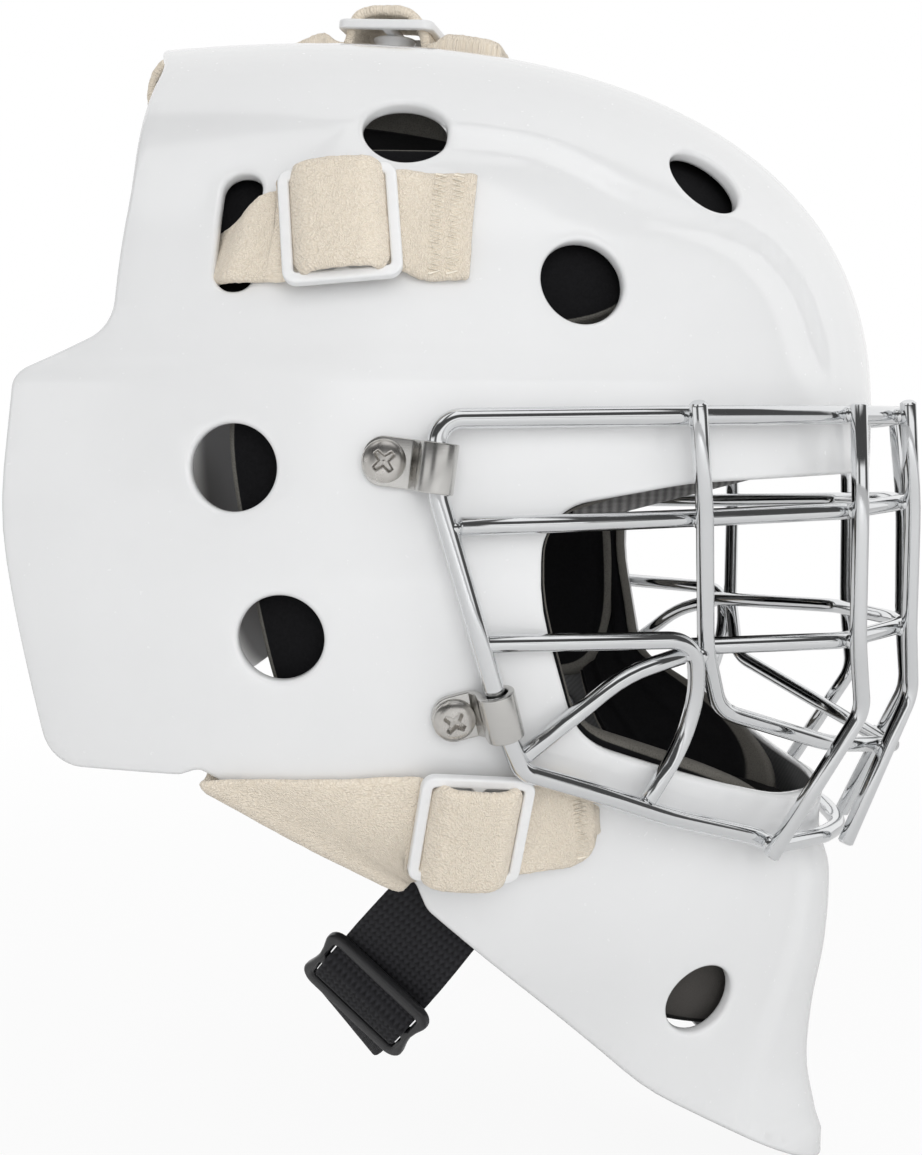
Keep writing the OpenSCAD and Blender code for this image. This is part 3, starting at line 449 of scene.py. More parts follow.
# %% [markdown]
# ## The shell
# The shell could be cut from a solid with booleans, but its rims would then be knife edges of long thin
# triangles. Here it is a fine grid on the form. The distance to the nearest edge is worked out at each
# grid point, and the grid is clipped where that distance equals the rim's radius. A rounded rim then
# joins the outer face to the inner one. Shallow steps beside the crown band and on the chin are moved
# out or in along the surface, as the mould has them.

# %% The shell's grid and its relief
COLUMNS, RIM_R = 300, 1.1
low_z = np.arange(FORM_Z0 + 0.8, CROWN_Z, 2.4)
rise_z = np.arange(CROWN_Z, 66, 1.3)
crown_a = np.arange(12.0, 88.9, 1.35)
row_z = np.concatenate([low_z, rise_z, CROWN_Z + CROWN_H * sind(crown_a) ** (2 / DOME_N)])
row_s = np.concatenate([dome(low_z), dome(rise_z), cosd(crown_a) ** (2 / DOME_N)])
ROWS = len(row_z)
# Half width of the raised crown band, by the angle from the horizontal about the ear
BAND = np.array([[0, 44.4], [6.6, 44.4], [13, 47], [17.4, 51.5], [20.4, 59.3], [23.6, 67.7], [28, 72.2],
                 [38, 74.9], [49, 81.7], [70, 84]], float)
# The surface falls by a step beside the band and comes back to the form further down
BAND_STEP, BAND_FALL, BAND_RETURN = 1.6, 4.5, 11
KEEL_OUT, LIP_OUT = 1.2, 1.5


def base(u, v):
    """Point of the form at a column and a row of the grid, which may be fractions."""
    rows = np.arange(ROWS)
    return form_point(360 * u / COLUMNS, np.interp(v, rows, row_z), np.interp(v, rows, row_s))


def base_normal(u, v, h=0.5):
    v = np.clip(v, h, ROWS - 1 - h)
    return unit(np.cross(base(u + h, v) - base(u - h, v), base(u, v + h) - base(u, v - h)))


def relief(p):
    """How far the mould's surface lies outside the plain form."""
    x, y, z = p[..., 0], p[..., 1], p[..., 2]
    q = np.degrees(np.arctan2(z - CROWN_Z, WIDEST_Y - y))
    d = np.abs(x) - np.interp(q, BAND[:, 0], BAND[:, 1])
    step = np.where(d < BAND_FALL, ease(d / BAND_FALL), np.clip(1 - (d - BAND_FALL) / BAND_RETURN, 0, 1))
    out = -BAND_STEP * step * ease((q - 2) / 6) * (1 - ease((q - 48) / 14))
    # The chin stands out in a flat keel in front, and its lower edge is rolled out
    keel = ease((-48 - y) / 8) * ease((-64 - z) / 10) * ease((z + 150) / 12)
    out = out + KEEL_OUT * keel * (1 - ease((np.abs(x) - 17 + (z + 64) * 0.06) / 5))
    lip = np.interp(y, [-120, -84, -72, -60], [-141, -140, -134, -126])
    return out + LIP_OUT * ease((lip - z) / 2) * ease((-52 - y) / 6)


def shell_point(u, v):
    p = base(u, v)
    return p + base_normal(u, v) * relief(p)[..., None]


BORE_REACH, FAR = 14, 40


def gaps(p):
    """Distances to each of the shell's edges, above 0 on the shell, measured from the side or the bores."""
    yz = p[..., 1:]
    both_sides = np.stack([np.abs(p[..., 0]), p[..., 1], p[..., 2]], -1)
    out = [inside_by(yz, SHELL_EDGE), -inside_by(yz, PORT_EDGE), -inside_by(yz, SLOT_EDGE)]
    for centre, n in VENTS:
        q = both_sides - centre
        # A bore cuts only the wall near its own centre, not the far side of the shell
        out.append(np.linalg.norm(q - (q @ n)[..., None] * n, axis=-1) - VENT_D / 2
                   + FAR * (np.abs(q @ n) > BORE_REACH))
    return np.stack(out)


def rim_frame(u, v, h=0.15):
    """Distance to the nearest edge along the surface, the way to it in the grid, and the way out."""
    v = np.clip(v, h, ROWS - 1 - h)

    def nearest(a, b):
        return gaps(base(a, b)).min(0)

    pu, pv = (base(u + h, v) - base(u - h, v)) / (2 * h), (base(u, v + h) - base(u, v - h)) / (2 * h)
    gu, gv = (nearest(u + h, v) - nearest(u - h, v)) / (2 * h), (nearest(u, v + h) - nearest(u, v - h)) / (2 * h)
    e, f, w = (pu * pu).sum(-1), (pu * pv).sum(-1), (pv * pv).sum(-1)
    area = np.maximum(e * w - f * f, 1e-9)
    cu, cv = (w * gu - f * gv) / area, (e * gv - f * gu) / area
    slope = np.sqrt(np.maximum(gu * cu + gv * cv, 0.02))
    out = -(cu[..., None] * pu + cv[..., None] * pv) / slope[..., None]
    return nearest(u, v) / slope, cu / slope, cv / slope, out


gu, gv = np.meshgrid(np.arange(COLUMNS, dtype=float), np.arange(ROWS, dtype=float))
gap = gaps(base(gu, gv)).min(0)
# Only close to an edge is the distance needed along the surface
near = np.abs(gap) < 9
gap[near] = rim_frame(gu[near], gv[near])[0]
gap = gap - RIM_R
print("grid:", ROWS, "rows of", COLUMNS, "columns; on the shell:", int((gap > 0).sum()))


# %% [markdown]
# Clipping works on the signs of the distances. Where a grid line has one end on the shell and one off it,
# the rim's line crosses it, and halving the stretch seven times finds the place. A grid point that lies
# very close to the line is moved onto it, because a cut beside it would leave a sliver. Then each square
# keeps its corners on the shell and gets new ones at the crossings.

# %% Clip the grid
def edge_crossings():
    """Where the rim's line crosses the grid: both ends of each crossed line, and the share of the way."""
    j, i = np.nonzero((gap > 0) != (np.roll(gap, -1, 1) > 0))
    across = np.stack([j, i, j, (i + 1) % COLUMNS], 1)
    j, i = np.nonzero((gap[:-1] > 0) != (gap[1:] > 0))
    ends = np.concatenate([across, np.stack([j, i, j + 1, i], 1)])
    du, dv = (ends[:, 3] != ends[:, 1]).astype(float), (ends[:, 2] != ends[:, 0]).astype(float)
    lo, hi = np.zeros(len(ends)), np.ones(len(ends))
    starts_in = gap[ends[:, 0], ends[:, 1]] > 0
    for _ in range(7):
        k = (lo + hi) / 2
        same = (rim_frame(ends[:, 1] + du * k, ends[:, 0] + dv * k)[0] > RIM_R) == starts_in
        lo, hi = np.where(same, k, lo), np.where(same, hi, k)
    return ends, (lo + hi) / 2, du, dv


ends, share, du, dv = edge_crossings()
SNAP, CUT_STEP = 0.28, 0.8
state = np.sign(gap).astype(int)
moved = {}
for (ja, ia, jb, ib), k, a, b in zip(ends, share, du, dv):
    key, away = ((ja, ia), k) if k < 0.5 else ((jb, ib), 1 - k)
    if away < SNAP and (key not in moved or moved[key][0] > away):
        moved[key] = (away, ia + a * k, ja + b * k)
for (j, i), (_, u, v) in moved.items():
    gu[j, i], gv[j, i] = (u - COLUMNS if i == 0 and u > 1 else u), v
    state[j, i] = 0
pole = COLUMNS * ROWS
spots_u, spots_v = [*gu.ravel(), 0.0], [*gv.ravel(), ROWS - 1.0]
crossing = {}
for (ja, ia, jb, ib), k, a, b in zip(ends, share, du, dv):
    if state[ja, ia] * state[jb, ib] < 0:
        crossing[(ja, ia, jb, ib)] = crossing[(jb, ib, ja, ia)] = len(spots_u)
        spots_u.append(ia + a * k)
        spots_v.append(ja + b * k)
outer = [[(ROWS - 1) * COLUMNS + i, (ROWS - 1) * COLUMNS + (i + 1) % COLUMNS, pole] for i in range(COLUMNS)]
for j in range(ROWS - 1):
    for i in range(COLUMNS):
        ring = [(j, i), (j, (i + 1) % COLUMNS), (j + 1, (i + 1) % COLUMNS), (j + 1, i)]
        if max(state[c] for c in ring) <= 0:
            continue
        face = []
        for c, nxt in zip(ring, ring[1:] + ring[:1]):
            if state[c] >= 0:
                face.append(c[0] * COLUMNS + c[1])
            if (*c, *nxt) in crossing:
                face.append(crossing[(*c, *nxt)])
        if len(face) >= 3:
            outer.append(face)
print("outer faces:", len(outer), "moved onto the rim:", len(moved))

# %% [markdown]
# The cut line is still coarse, because it has one point where it crosses each grid line. So each cut edge
# gets more points, about every 0.8 mm, and all of them are slid onto the true line in a few Newton steps.
# This is what makes a vent look round and not like a polygon.

# %% Fine points along the cut
directed = {edge for face in outer for edge in zip(face, face[1:] + face[:1])}
border = np.array(sorted((a, b) for a, b in directed if (b, a) not in directed))
u, v = np.array(spots_u), np.array(spots_v)
away_u, away_v = u[border[:, 1]] - u[border[:, 0]], v[border[:, 1]] - v[border[:, 0]]
away_u -= COLUMNS * np.round(away_u / COLUMNS)
span = np.linalg.norm(base(u[border[:, 1]], v[border[:, 1]]) - base(u[border[:, 0]], v[border[:, 0]]), axis=1)
chains = {}
for (a, b), wu, wv, n in zip(border.tolist(), away_u, away_v, np.clip(np.round(span / CUT_STEP), 1, 5).astype(int)):
    chains[a, b] = [a, *range(len(spots_u), len(spots_u) + n - 1), b]
    for k in range(1, n):
        spots_u.append(spots_u[a] + wu * k / n)
        spots_v.append(spots_v[a] + wv * k / n)
outer = [[q for edge in zip(face, face[1:] + face[:1]) for q in chains.get(edge, edge)[:-1]] for face in outer]
spots_u, spots_v = np.array(spots_u), np.array(spots_v)
rim_ids = np.array(sorted({q for chain in chains.values() for q in chain}))
for _ in range(3):
    d, way_u, way_v, _ = rim_frame(spots_u[rim_ids], spots_v[rim_ids])
    spots_u[rim_ids] += np.clip(RIM_R - d, -2, 2) * way_u
    spots_v[rim_ids] += np.clip(RIM_R - d, -2, 2) * way_v
way_out = np.zeros((len(spots_u), 3))
way_out[rim_ids] = rim_frame(spots_u[rim_ids], spots_v[rim_ids])[3]
face_points, face_normals = shell_point(spots_u, spots_v), base_normal(spots_u, spots_v)
face_points[pole], face_normals[pole] = [0, WIDEST_Y, CROWN_TOP], [0, 0, 1]
inner_points = face_points - face_normals * (WALL + relief(base(spots_u, spots_v)))[:, None]
print("points on the rims:", len(rim_ids))

# %% [markdown]
# The clipped grid has open borders: edges that only one face uses. They are followed round into loops,
# and each loop gets rings of points that turn over the rim to the inner face. The inner face is the outer
# one moved in by the wall, with its faces turned over.


# %% Rims and the inner face
after = {a: b for chain in chains.values() for a, b in zip(chain, chain[1:])}
loops = []
while after:
    loop, here = [], next(iter(after))
    while here in after:
        loop.append(here)
        here = after.pop(here)
    loops.append(np.array(loop))
count = len(face_points)
points = [face_points, inner_points]
faces = outer + [[count + k for k in reversed(face)] for face in outer]
total = 2 * count
RIM_STEPS = [(30, 0), (60, 0), (90, 0), (90, 1), (60, 1), (30, 1)]
for loop in loops:
    p, n = face_points[loop], face_normals[loop]
    out = unit(np.roll(way_out[loop], 1, 0) + 2 * way_out[loop] + np.roll(way_out[loop], -1, 0))
    depth = np.linalg.norm(inner_points[loop] - p, axis=1)[:, None]
    rings = [loop]
    for angle, inner in RIM_STEPS:
        fall = RIM_R * (1 - cosd(angle))
        points.append(p + out * RIM_R * sind(angle) - n * (depth - fall if inner else fall))
        rings.append(total + np.arange(len(loop)))
        total += len(loop)
    rings.append(loop + count)
    for low, high in zip(rings, rings[1:]):
        faces += [[b, a, c, d] for a, b, c, d in zip(low, np.roll(low, -1), high, np.roll(high, -1))]
points = np.concatenate(points)
used = np.unique(np.concatenate([np.array(f) for f in faces]))
renumber = np.full(len(points), -1)
renumber[used] = np.arange(len(used))
inside = np.zeros(len(points))
inside[count:2 * count] = 1
shell = new_mesh("shell_skin", points[used], [renumber[f] for f in faces], shell_plastic.material,
                 marks={"inside": inside[used]})
settle(shell, "mask", "shell_plastic", ["shell"])
print("shell:", len(loops), "rims,", sum(len(f) - 2 for f in faces), "triangles")

# %% [markdown]
# ## Chromed wire
# The cage is welded from round steel wire and plated. A tree of Geometry Nodes turns any route into a
# wire: it puts a circle along the curve, and makes it a little thinner right at its cut ends, as a
# deburred end is. The routes are short lists of points with bend radii, like a bending plan.

# %% Chrome and the wire tree
chrome = Finish("cage_chrome", metallic=1.0, base_color=(0.78, 0.79, 0.80))
at = chrome.place()
chrome.set(roughness=chrome.noise(at, 260, 3) * 0.06 + 0.05)
chrome.bump(chrome.noise(at, 300, 2), 0.06, 0.25)


def make_tree(name, sockets):
    """A new Geometry Nodes tree with one geometry in, one out, and named inputs."""
    tree = bpy.data.node_groups.new(name, "GeometryNodeTree")
    tree.interface.new_socket(name="Geometry", in_out="INPUT", socket_type="NodeSocketGeometry")
    tree.interface.new_socket(name="Geometry", in_out="OUTPUT", socket_type="NodeSocketGeometry")
    for key, kind in sockets.items():
        tree.interface.new_socket(name=key, in_out="INPUT", socket_type="NodeSocket" + kind)
    return tree, tree.nodes.new("NodeGroupInput"), tree.nodes.new("NodeGroupOutput")


def link(tree, kind, links, settings=None, values=None):
    """A node with its settings, plain values and links, all by socket name or number."""
    made = tree.nodes.new(kind)
    for key, value in (settings or {}).items():
        setattr(made, key, value)
    for key, value in (values or {}).items():
        made.inputs[key].default_value = value
    for key, socket in links.items():
        tree.links.new(socket, made.inputs[key])
    return made


def close_tree(tree, geometry, given, result):
    """Ends a tree with real points, smooth faces and the material that is one of its inputs."""
    real = link(tree, "GeometryNodeRealizeInstances", {"Geometry": geometry})
    shaded = link(tree, "GeometryNodeSetShadeSmooth", {"Geometry": real.outputs[0]})
    dressed = link(tree, "GeometryNodeSetMaterial", {"Geometry": shaded.outputs[0],
                                                     "Material": given.outputs["Material"]})
    tree.links.new(dressed.outputs[0], result.inputs[0])


wire_tree, given, result = make_tree("Wire", {"Diameter": "Float", "Sides": "Int", "Chamfer": "Float",
                                              "Material": "Material"})
spot = link(wire_tree, "GeometryNodeSplineParameter", {})
whole = link(wire_tree, "GeometryNodeSplineLength", {})
to_end = link(wire_tree, "ShaderNodeMath", {0: whole.outputs["Length"], 1: spot.outputs["Length"]},
              {"operation": "SUBTRACT"})
nearest = link(wire_tree, "ShaderNodeMath", {0: spot.outputs["Length"], 1: to_end.outputs[0]},
               {"operation": "MINIMUM"})
taper = link(wire_tree, "ShaderNodeMapRange", {"Value": nearest.outputs[0], "From Max": given.outputs["Chamfer"]},
             {"interpolation_type": "SMOOTHSTEP"}, {"To Min": 0.72})
half = link(wire_tree, "ShaderNodeMath", {0: given.outputs["Diameter"]}, {"operation": "MULTIPLY"}, {1: 0.5})
ring = link(wire_tree, "GeometryNodeCurvePrimitiveCircle",
            {"Resolution": given.outputs["Sides"], "Radius": half.outputs[0]})
tube = link(wire_tree, "GeometryNodeCurveToMesh", {"Curve": given.outputs["Geometry"], "Scale": taper.outputs[0],
                                                   "Profile Curve": ring.outputs["Curve"]}, values={"Fill Caps": True})
close_tree(wire_tree, tube.outputs["Mesh"], given, result)
print("wire tree:", len(wire_tree.nodes), "nodes")


def grown(name, source, tree, inputs):
    """Runs a tree on an object and returns its result as a plain mesh object."""
    modifier = source.modifiers.new("Grow", "NODES")
    modifier.node_group = tree
    for item in tree.interface.items_tree:
        if item.in_out == "INPUT" and item.name in inputs:
            modifier[item.identifier] = inputs[item.name]
    bpy.context.view_layer.update()
    mesh = bpy.data.meshes.new_from_object(source.evaluated_get(bpy.context.evaluated_depsgraph_get()))
    source.modifiers.remove(modifier)
    bpy.data.objects.remove(source)
    mesh.name = name
    return shown(name, mesh)


def add_route(curve, points, closed):
    """Adds a route of straight stretches, in millimetres, to a curve."""
    spline = curve.splines.new("POLY")
    spline.points.add(len(points) - 1)
    spline.points.foreach_set("co", np.c_[np.asarray(points) * MM, np.ones(len(points))].ravel())
    spline.use_cyclic_u = closed


def wire(name, points, d, finish=chrome, closed=False, sides=20, chamfer=0.45):
    """A round wire of diameter d along a route."""
    if not closed:
        # Two more points close to each cut end, where the wire thins
        a, b = unit(points[1] - points[0]), unit(points[-2] - points[-1])
        points = [points[0], points[0] + a * chamfer * 0.5, points[0] + a * chamfer, *points[1:-1],
                  points[-1] + b * chamfer, points[-1] + b * chamfer * 0.5, points[-1]]
    curve = bpy.data.curves.new(name, "CURVE")
    curve.dimensions = "3D"
    add_route(curve, points, closed)
    return grown(name, shown(name + "_route", curve), wire_tree,
                 {"Diameter": d * MM, "Sides": sides, "Chamfer": chamfer * MM, "Material": finish.material})


# %% [markdown]
# ## The cage
# A perimeter wire follows the shell's surface a few millimetres off it, and the bars and posts are welded
# to it and to each other. They are drawn on the left and mirrored, as the real cage is symmetrical.

# %% Routes of the cage
BAR_D, RIM_D, RIM_GAP, CAGE_REACH = 4.4, 5, 3.2, 10
# The photograph shows the wire a little thinner than the CAD model has it
SHOWN_BAR_D, SHOWN_RIM_D = 3.9, 4.3
FRONT_Y = WIDEST_Y - SHELL_FRONT - CAGE_REACH
RIM_OFF = RIM_GAP + RIM_D / 2
WELD, RIM_WELD = 0.88 * BAR_D, 0.9 * (RIM_D + BAR_D) / 2
RIM_TOP_Z, EYE_Z, LOWER_Z, CHIN_Z = PORT_TOP + 11, PORT_TOP - 10, -10, PORT_BOTTOM - 9
# The posts: X and depth at the eye bar, lean, and the way out
CENTRE = (21, 0.5, 0.2, unit([0.12, -1, 0]))
INNER = (56, 14, 0.17, unit([0.6, -0.8, 0]))
OUTER = (81, 47.5, 0.31, unit([0.85, -0.5, 0]))


def post(k, z, out=0.0):
    """Point of a post's plane at a height, moved out or in."""
    return np.array([k[0] - k[2] * (EYE_Z - z), FRONT_Y + k[1], z]) + out * k[3]


def butt(start, rim):
    """End of a wire that comes from start and is welded against the perimeter wire."""
    return rim + unit(start - rim) * (RIM_D / 2 - 0.4)


def both(route):
    """A left half from the middle, with its mirror image before it."""
    return [(flipped(p), r) for p, r in reversed(route[1:])] + route


def brow_off(t):
    """Distance of the perimeter wire off the brow, a little more in the middle."""
    return RIM_OFF + 2 * max(0, 1 - t / 30)


rim_half = [(skin(t, RIM_TOP_Z + 1.5 - t / 30, brow_off(t)), 60) for t in (12, 27, 38, 48)]
rim_half += [(side(y, z, RIM_OFF), r) for y, z, r in (
    (-14, RIM_TOP_Z - 1, 5), (-14.3, 24, 10), (-21.3, -2, 60), (-26.3, -25, 40), (-28.8, -33, 6), (-44, -39, 60),
    (-57.4, -46, 60), (-75.5, PORT_BOTTOM - 0.7, 60))]
rim_half += [(skin(t, CHIN_Z + t / 6, RIM_OFF), 30) for t in (26, 14)]
rim_loop = [(skin(0, RIM_TOP_Z + 1.5, brow_off(0)), 60), *rim_half, (skin(0, CHIN_Z, RIM_OFF), 60)]
rim_loop += [(flipped(p), r) for p, r in reversed(rim_half)]
eye_past = side(-40, EYE_Z - 1.5, BAR_D / 2 + 1.5)
lower_out = post(OUTER, LOWER_Z, -1.25 * WELD)
lower_past = lower_out + unit(lower_out - post(INNER, LOWER_Z, -WELD)) * 5
hook_corner, knee = side(-66, -7.5, 0.6), side(-63, -32, 0.4)
middle = side(-52, -14.5, 0.3)
routes = {
    "cage_rim": bent(rim_loop, closed=True, step=5),
    "cage_eye_bar": bent(both([((0, FRONT_Y + 1, EYE_Z + 1), 0), (post(CENTRE, EYE_Z + 1, -WELD), 40),
                               (post(INNER, EYE_Z, -WELD), 12), (post(OUTER, EYE_Z - 1, -WELD), 40), (eye_past, 30),
                               (butt(eye_past, side(-16.3, EYE_Z - 2, RIM_OFF)), 0)])),
    "cage_lower_bar": bent(both([((0, FRONT_Y + 1, LOWER_Z), 0), (post(CENTRE, LOWER_Z, -WELD), 40),
                                 (post(INNER, LOWER_Z, -WELD), 12), (lower_past, 0)])),
    "cage_outer_loop": bent(both([((0, FRONT_Y + 3.5, -41.5), 0), ((33, FRONT_Y + 20, -36.5), 30),
                                  ((59, FRONT_Y + 45, -25.5), 14), (post(OUTER, LOWER_Z), 14),
                                  (post(OUTER, EYE_Z), 60), (side(-61.8, RIM_TOP_Z + 2.5, RIM_OFF + RIM_WELD), 0)])),
}
one_side = {
    "cage_inner_post": bent([(skin(25.5, RIM_TOP_Z + 3, brow_off(25.5) + RIM_WELD), 0), (post(INNER, EYE_Z), 60),
                             (post(INNER, LOWER_Z), 40), ((43.5, FRONT_Y + INNER[1] - 1.5, -27), 8),
                             (skin(29, CHIN_Z + 4, RIM_OFF + RIM_WELD), 0)]),
    "cage_centre_post": bent([(skin(12.5, RIM_TOP_Z + 4, brow_off(12.5) + RIM_WELD), 0), (post(CENTRE, EYE_Z), 60),
                              (post(CENTRE, LOWER_Z), 40), ((9, FRONT_Y - 0.5, -27), 9),
                              (skin(12, CHIN_Z - 1, RIM_OFF + RIM_WELD), 0)]),
    "cage_hook": bent([(butt(hook_corner, side(-20.3, -5.5, RIM_OFF)), 0), (hook_corner, 9), (side(-67, -20, -0.6), 20),
                       (knee, 20), (butt(knee, side(-52, -43.5, RIM_OFF)), 0)]),
    "cage_brace": bent([(butt(middle, side(-27.7, -31, RIM_OFF)), 0), (middle, 30),
                        (hook_corner + [-0.5, 2.5, -3.5], 0)]),
}
for name, route in one_side.items():
    routes[name + "_left"], routes[name + "_right"] = route, flipped(route)
for name, route in routes.items():
    thick = SHOWN_RIM_D if name == "cage_rim" else SHOWN_BAR_D
    settle(wire(name + "_wire", route, thick, closed=name == "cage_rim"), "mask", "cage_chrome", [name])
print("wires:", len(routes), "length of the rim:",
      round(float(np.linalg.norm(np.diff(routes["cage_rim"], axis=0), axis=1).sum())), "mm")

# %% [markdown]
# Where two wires cross, the welder's current leaves a small melted fillet. The crossings are found from
# the routes themselves, so they stay right if a route changes: each pair of wires is compared point by
# point, and the nearest points closer than their two radii get a bead. Geometry Nodes put a low, round
# bead on each of these points.


# %% Weld beads
def evenly(route, closed=False, step=0.6):
    route = np.asarray(route)
    if closed:
        route = np.concatenate([route, route[:1]])
    long = np.concatenate([[0], np.cumsum(np.linalg.norm(np.diff(route, axis=0), axis=1))])
    at_mm = np.linspace(0, long[-1], max(2, int(long[-1] / step)))
    return np.stack([np.interp(at_mm, long, route[:, k]) for k in range(3)], 1)


BEAD_R, BEAD_APART = 1.75, 9
dense = {name: evenly(route, name == "cage_rim") for name, route in routes.items()}
beads = []
for i, a in enumerate(dense):
    for b in list(dense)[i + 1:]:
        reach = (RIM_D if "cage_rim" in (a, b) else BAR_D) / 2 + BAR_D / 2 + 0.5
        away = np.linalg.norm(dense[a][:, None] - dense[b][None], axis=-1)
        while away.min() < reach:
            j, k = np.unravel_index(away.argmin(), away.shape)
            beads.append((dense[a][j] + dense[b][k]) / 2)
            away[np.linalg.norm(dense[a] - beads[-1], axis=1) < BEAD_APART] = FAR
bead_tree, given, result = make_tree("Weld beads", {"Radius": "Float", "Material": "Material"})
drop = link(bead_tree, "GeometryNodeMeshIcoSphere", {"Radius": given.outputs["Radius"]}, values={"Subdivisions": 3})
swell = link(bead_tree, "FunctionNodeRandomValue", {}, {"data_type": "FLOAT_VECTOR"},
             {0: (0.9, 0.9, 0.9), 1: (1.12, 1.12, 1.12), "Seed": 4})
many = link(bead_tree, "GeometryNodeInstanceOnPoints", {"Points": given.outputs["Geometry"],
                                                        "Instance": drop.outputs[0], "Scale": swell.outputs[0]})
close_tree(bead_tree, many.outputs[0], given, result)
source = new_mesh("bead_points", beads, [], chrome.material)
settle(grown("cage_weld_beads", source, bead_tree, {"Radius": BEAD_R * MM, "Material": chrome.material}),
       "mask", "cage_chrome")
print("weld beads:", len(beads))

# %% [markdown]
# ## Clips and screws
# Each clip is a strip of nickel steel that lies flat on the shell under its screw, rises, and wraps over
# the perimeter wire. It is swept: one rounded cross-section is carried along the bent line of the strip,
# and drawn in at the tail, which the press has cut round.

# %% Clips
# The screw of each clip and the place where it wraps the wire, as Y and Z on the side
CLIPS = [((-3.6, 31.4), (-14, 30)), ((-16.5, -23), (-25.3, -20.5))]
CLIP_T, CLIP_W, SCREW_HEAD_D = 1.4, 10.5, 9.2
TAIL_R, CLIP_STEP = 4.6, 0.35


def loft(rings, closed_ends=True):
    """Points and faces of a tube through rings of equal length, with closed ends."""
    rings = np.asarray(rings)
    m, n = rings.shape[:2]
    faces = [[j * n + i, (j + 1) * n + i, (j + 1) * n + (i + 1) % n, j * n + (i + 1) % n]
             for j in range(m - 1) for i in range(n)]
    if closed_ends:
        faces += [list(range(n)), list(range(m * n - 1, (m - 1) * n - 1, -1))]
    return rings.reshape(-1, 3), faces


def capped(rings, tip, end):
    """Points and faces of rings that close to one point before the first and one after the last."""
    points, faces = loft(rings, closed_ends=False)
    n, first = np.shape(rings)[1], len(points)
    last = first - n
    faces += [[(i + 1) % n, first, i] for i in range(n)]
    faces += [[last + i, first + 1, last + (i + 1) % n] for i in range(n)]
    return np.concatenate([points, [tip, end]]), faces


def outwards(piece, merge=0.0):
    """Turns the faces of a closed mesh outwards, once points closer than merge are joined."""
    work = bmesh.new()
    work.from_mesh(piece.data)
    if merge:
        bmesh.ops.remove_doubles(work, verts=work.verts, dist=merge * MM)
    bmesh.ops.recalc_face_normals(work, faces=work.faces)
    work.to_mesh(piece.data)
    work.free()
    return piece


def flat_ring(half_w, thick, soft=0.3, steps=4):
    """Cross-section of a strip as [across, out], with rounded corners, from the base at out = 0."""
    soft = min(soft, thick / 2)
    out = []
    for cx, cy, a0 in ((1, 1, 0), (-1, 1, 90), (-1, 0, 180), (1, 0, 270)):
        for a in np.linspace(a0, a0 + 90, steps):
            out.append((cx * (half_w - soft) + soft * cosd(a), (thick - soft if cy else soft) + soft * sind(a)))
    return np.array(out)


steel = Finish("clip_steel", metallic=1.0)
at = steel.node("ShaderNodeMapping", {}, {"Vector": steel.place(), "Scale": (260, 260, 3200)})
grain = steel.noise(at, 1.0, 3, 0.6)
steel.set(base_color=steel.mix(grain, (0.60, 0.59, 0.57), (0.68, 0.67, 0.65)), roughness=grain * 0.1 + 0.2)
steel.bump(grain, 0.015, 0.3)


def clip_frame(c):
    """Foot, run along the shell, width direction and outward normal of a clip, and its wire's place."""
    foot, n = side(*c[0]), side_normal(*c[0])
    w = side(*c[1], RIM_OFF) - foot
    run = unit(w - (w @ n) * n)
    return foot, run, np.cross(n, run), n, w @ run, w @ n


def clip(c, name):
    """The strip of a clip, swept along its bent line."""
    foot, run, wide, n, wx, wz = clip_frame(c)
    r = RIM_D / 2 + CLEAR / 2
    # The strip's base line from the side: flat tail, a rise, then round the wire
    line = bent([((-TAIL_R, 0.02), 0), ((wx - r - 2.1, 0.02), 1.6), ((wx - r - 0.2, wz * 0.5), 1.2),
                 ((wx - r, wz), 0)], step=12)
    arc = [(wx + r * cosd(a), wz + r * sind(a)) for a in np.arange(168, -96, -8)]
    line = evenly(np.c_[np.concatenate([line, arc]), np.zeros(len(line) + len(arc))], step=CLIP_STEP)[:, :2]
    rings = []
    for k, p in enumerate(line):
        t = unit(line[min(k + 1, len(line) - 1)] - line[max(k - 1, 0)])
        half_w = CLIP_W / 2 * min(1, math.sqrt(1 - max(0, 1 - (k * CLIP_STEP + 0.06) / TAIL_R) ** 2.2))
        end = len(line) - 1 - k
        ring = flat_ring(max(half_w, 0.5) - 0.25 * max(0, 2 - end), CLIP_T)
        up = np.array([-t[1], t[0]])
        q = p + ring[:, 1:] * up
        rings.append(foot + q[:, :1] * run + q[:, 1:] * n + ring[:, :1] * wide)
    return outwards(new_mesh(name, *loft(rings), steel.material))


for c, level in zip(CLIPS, ("upper", "lower")):
    settle_pair(clip(c, f"clip_{level}_left_strip"), "mask", "clip_steel", f"clip_{level}_left")
print("clips made:", 2 * len(CLIPS), "strip width", CLIP_W, "mm")

# %% [markdown]
# The screws have domed heads with a cross recess. A head is a disc of rings whose height falls towards
# the rim, and which is pressed down inside the cross. One screw is made, and Geometry Nodes set it on the
# four clips: each point carries the directions of its clip as attributes, so the tree can turn it.

# %% Screws
HEAD_RINGS, HEAD_SIDES, HEAD_H, HEAD_EDGE_H, SHANK_D, SHANK_L = 34, 72, 2.5, 0.55, 4, 7
# The cross recess: half width of an arm at the middle and at its end, the arm's reach, and the depth
ARM_HALF_W, ARM_REACH, CROSS_DEPTH = (0.75, 0.42), 2.45, 1.7


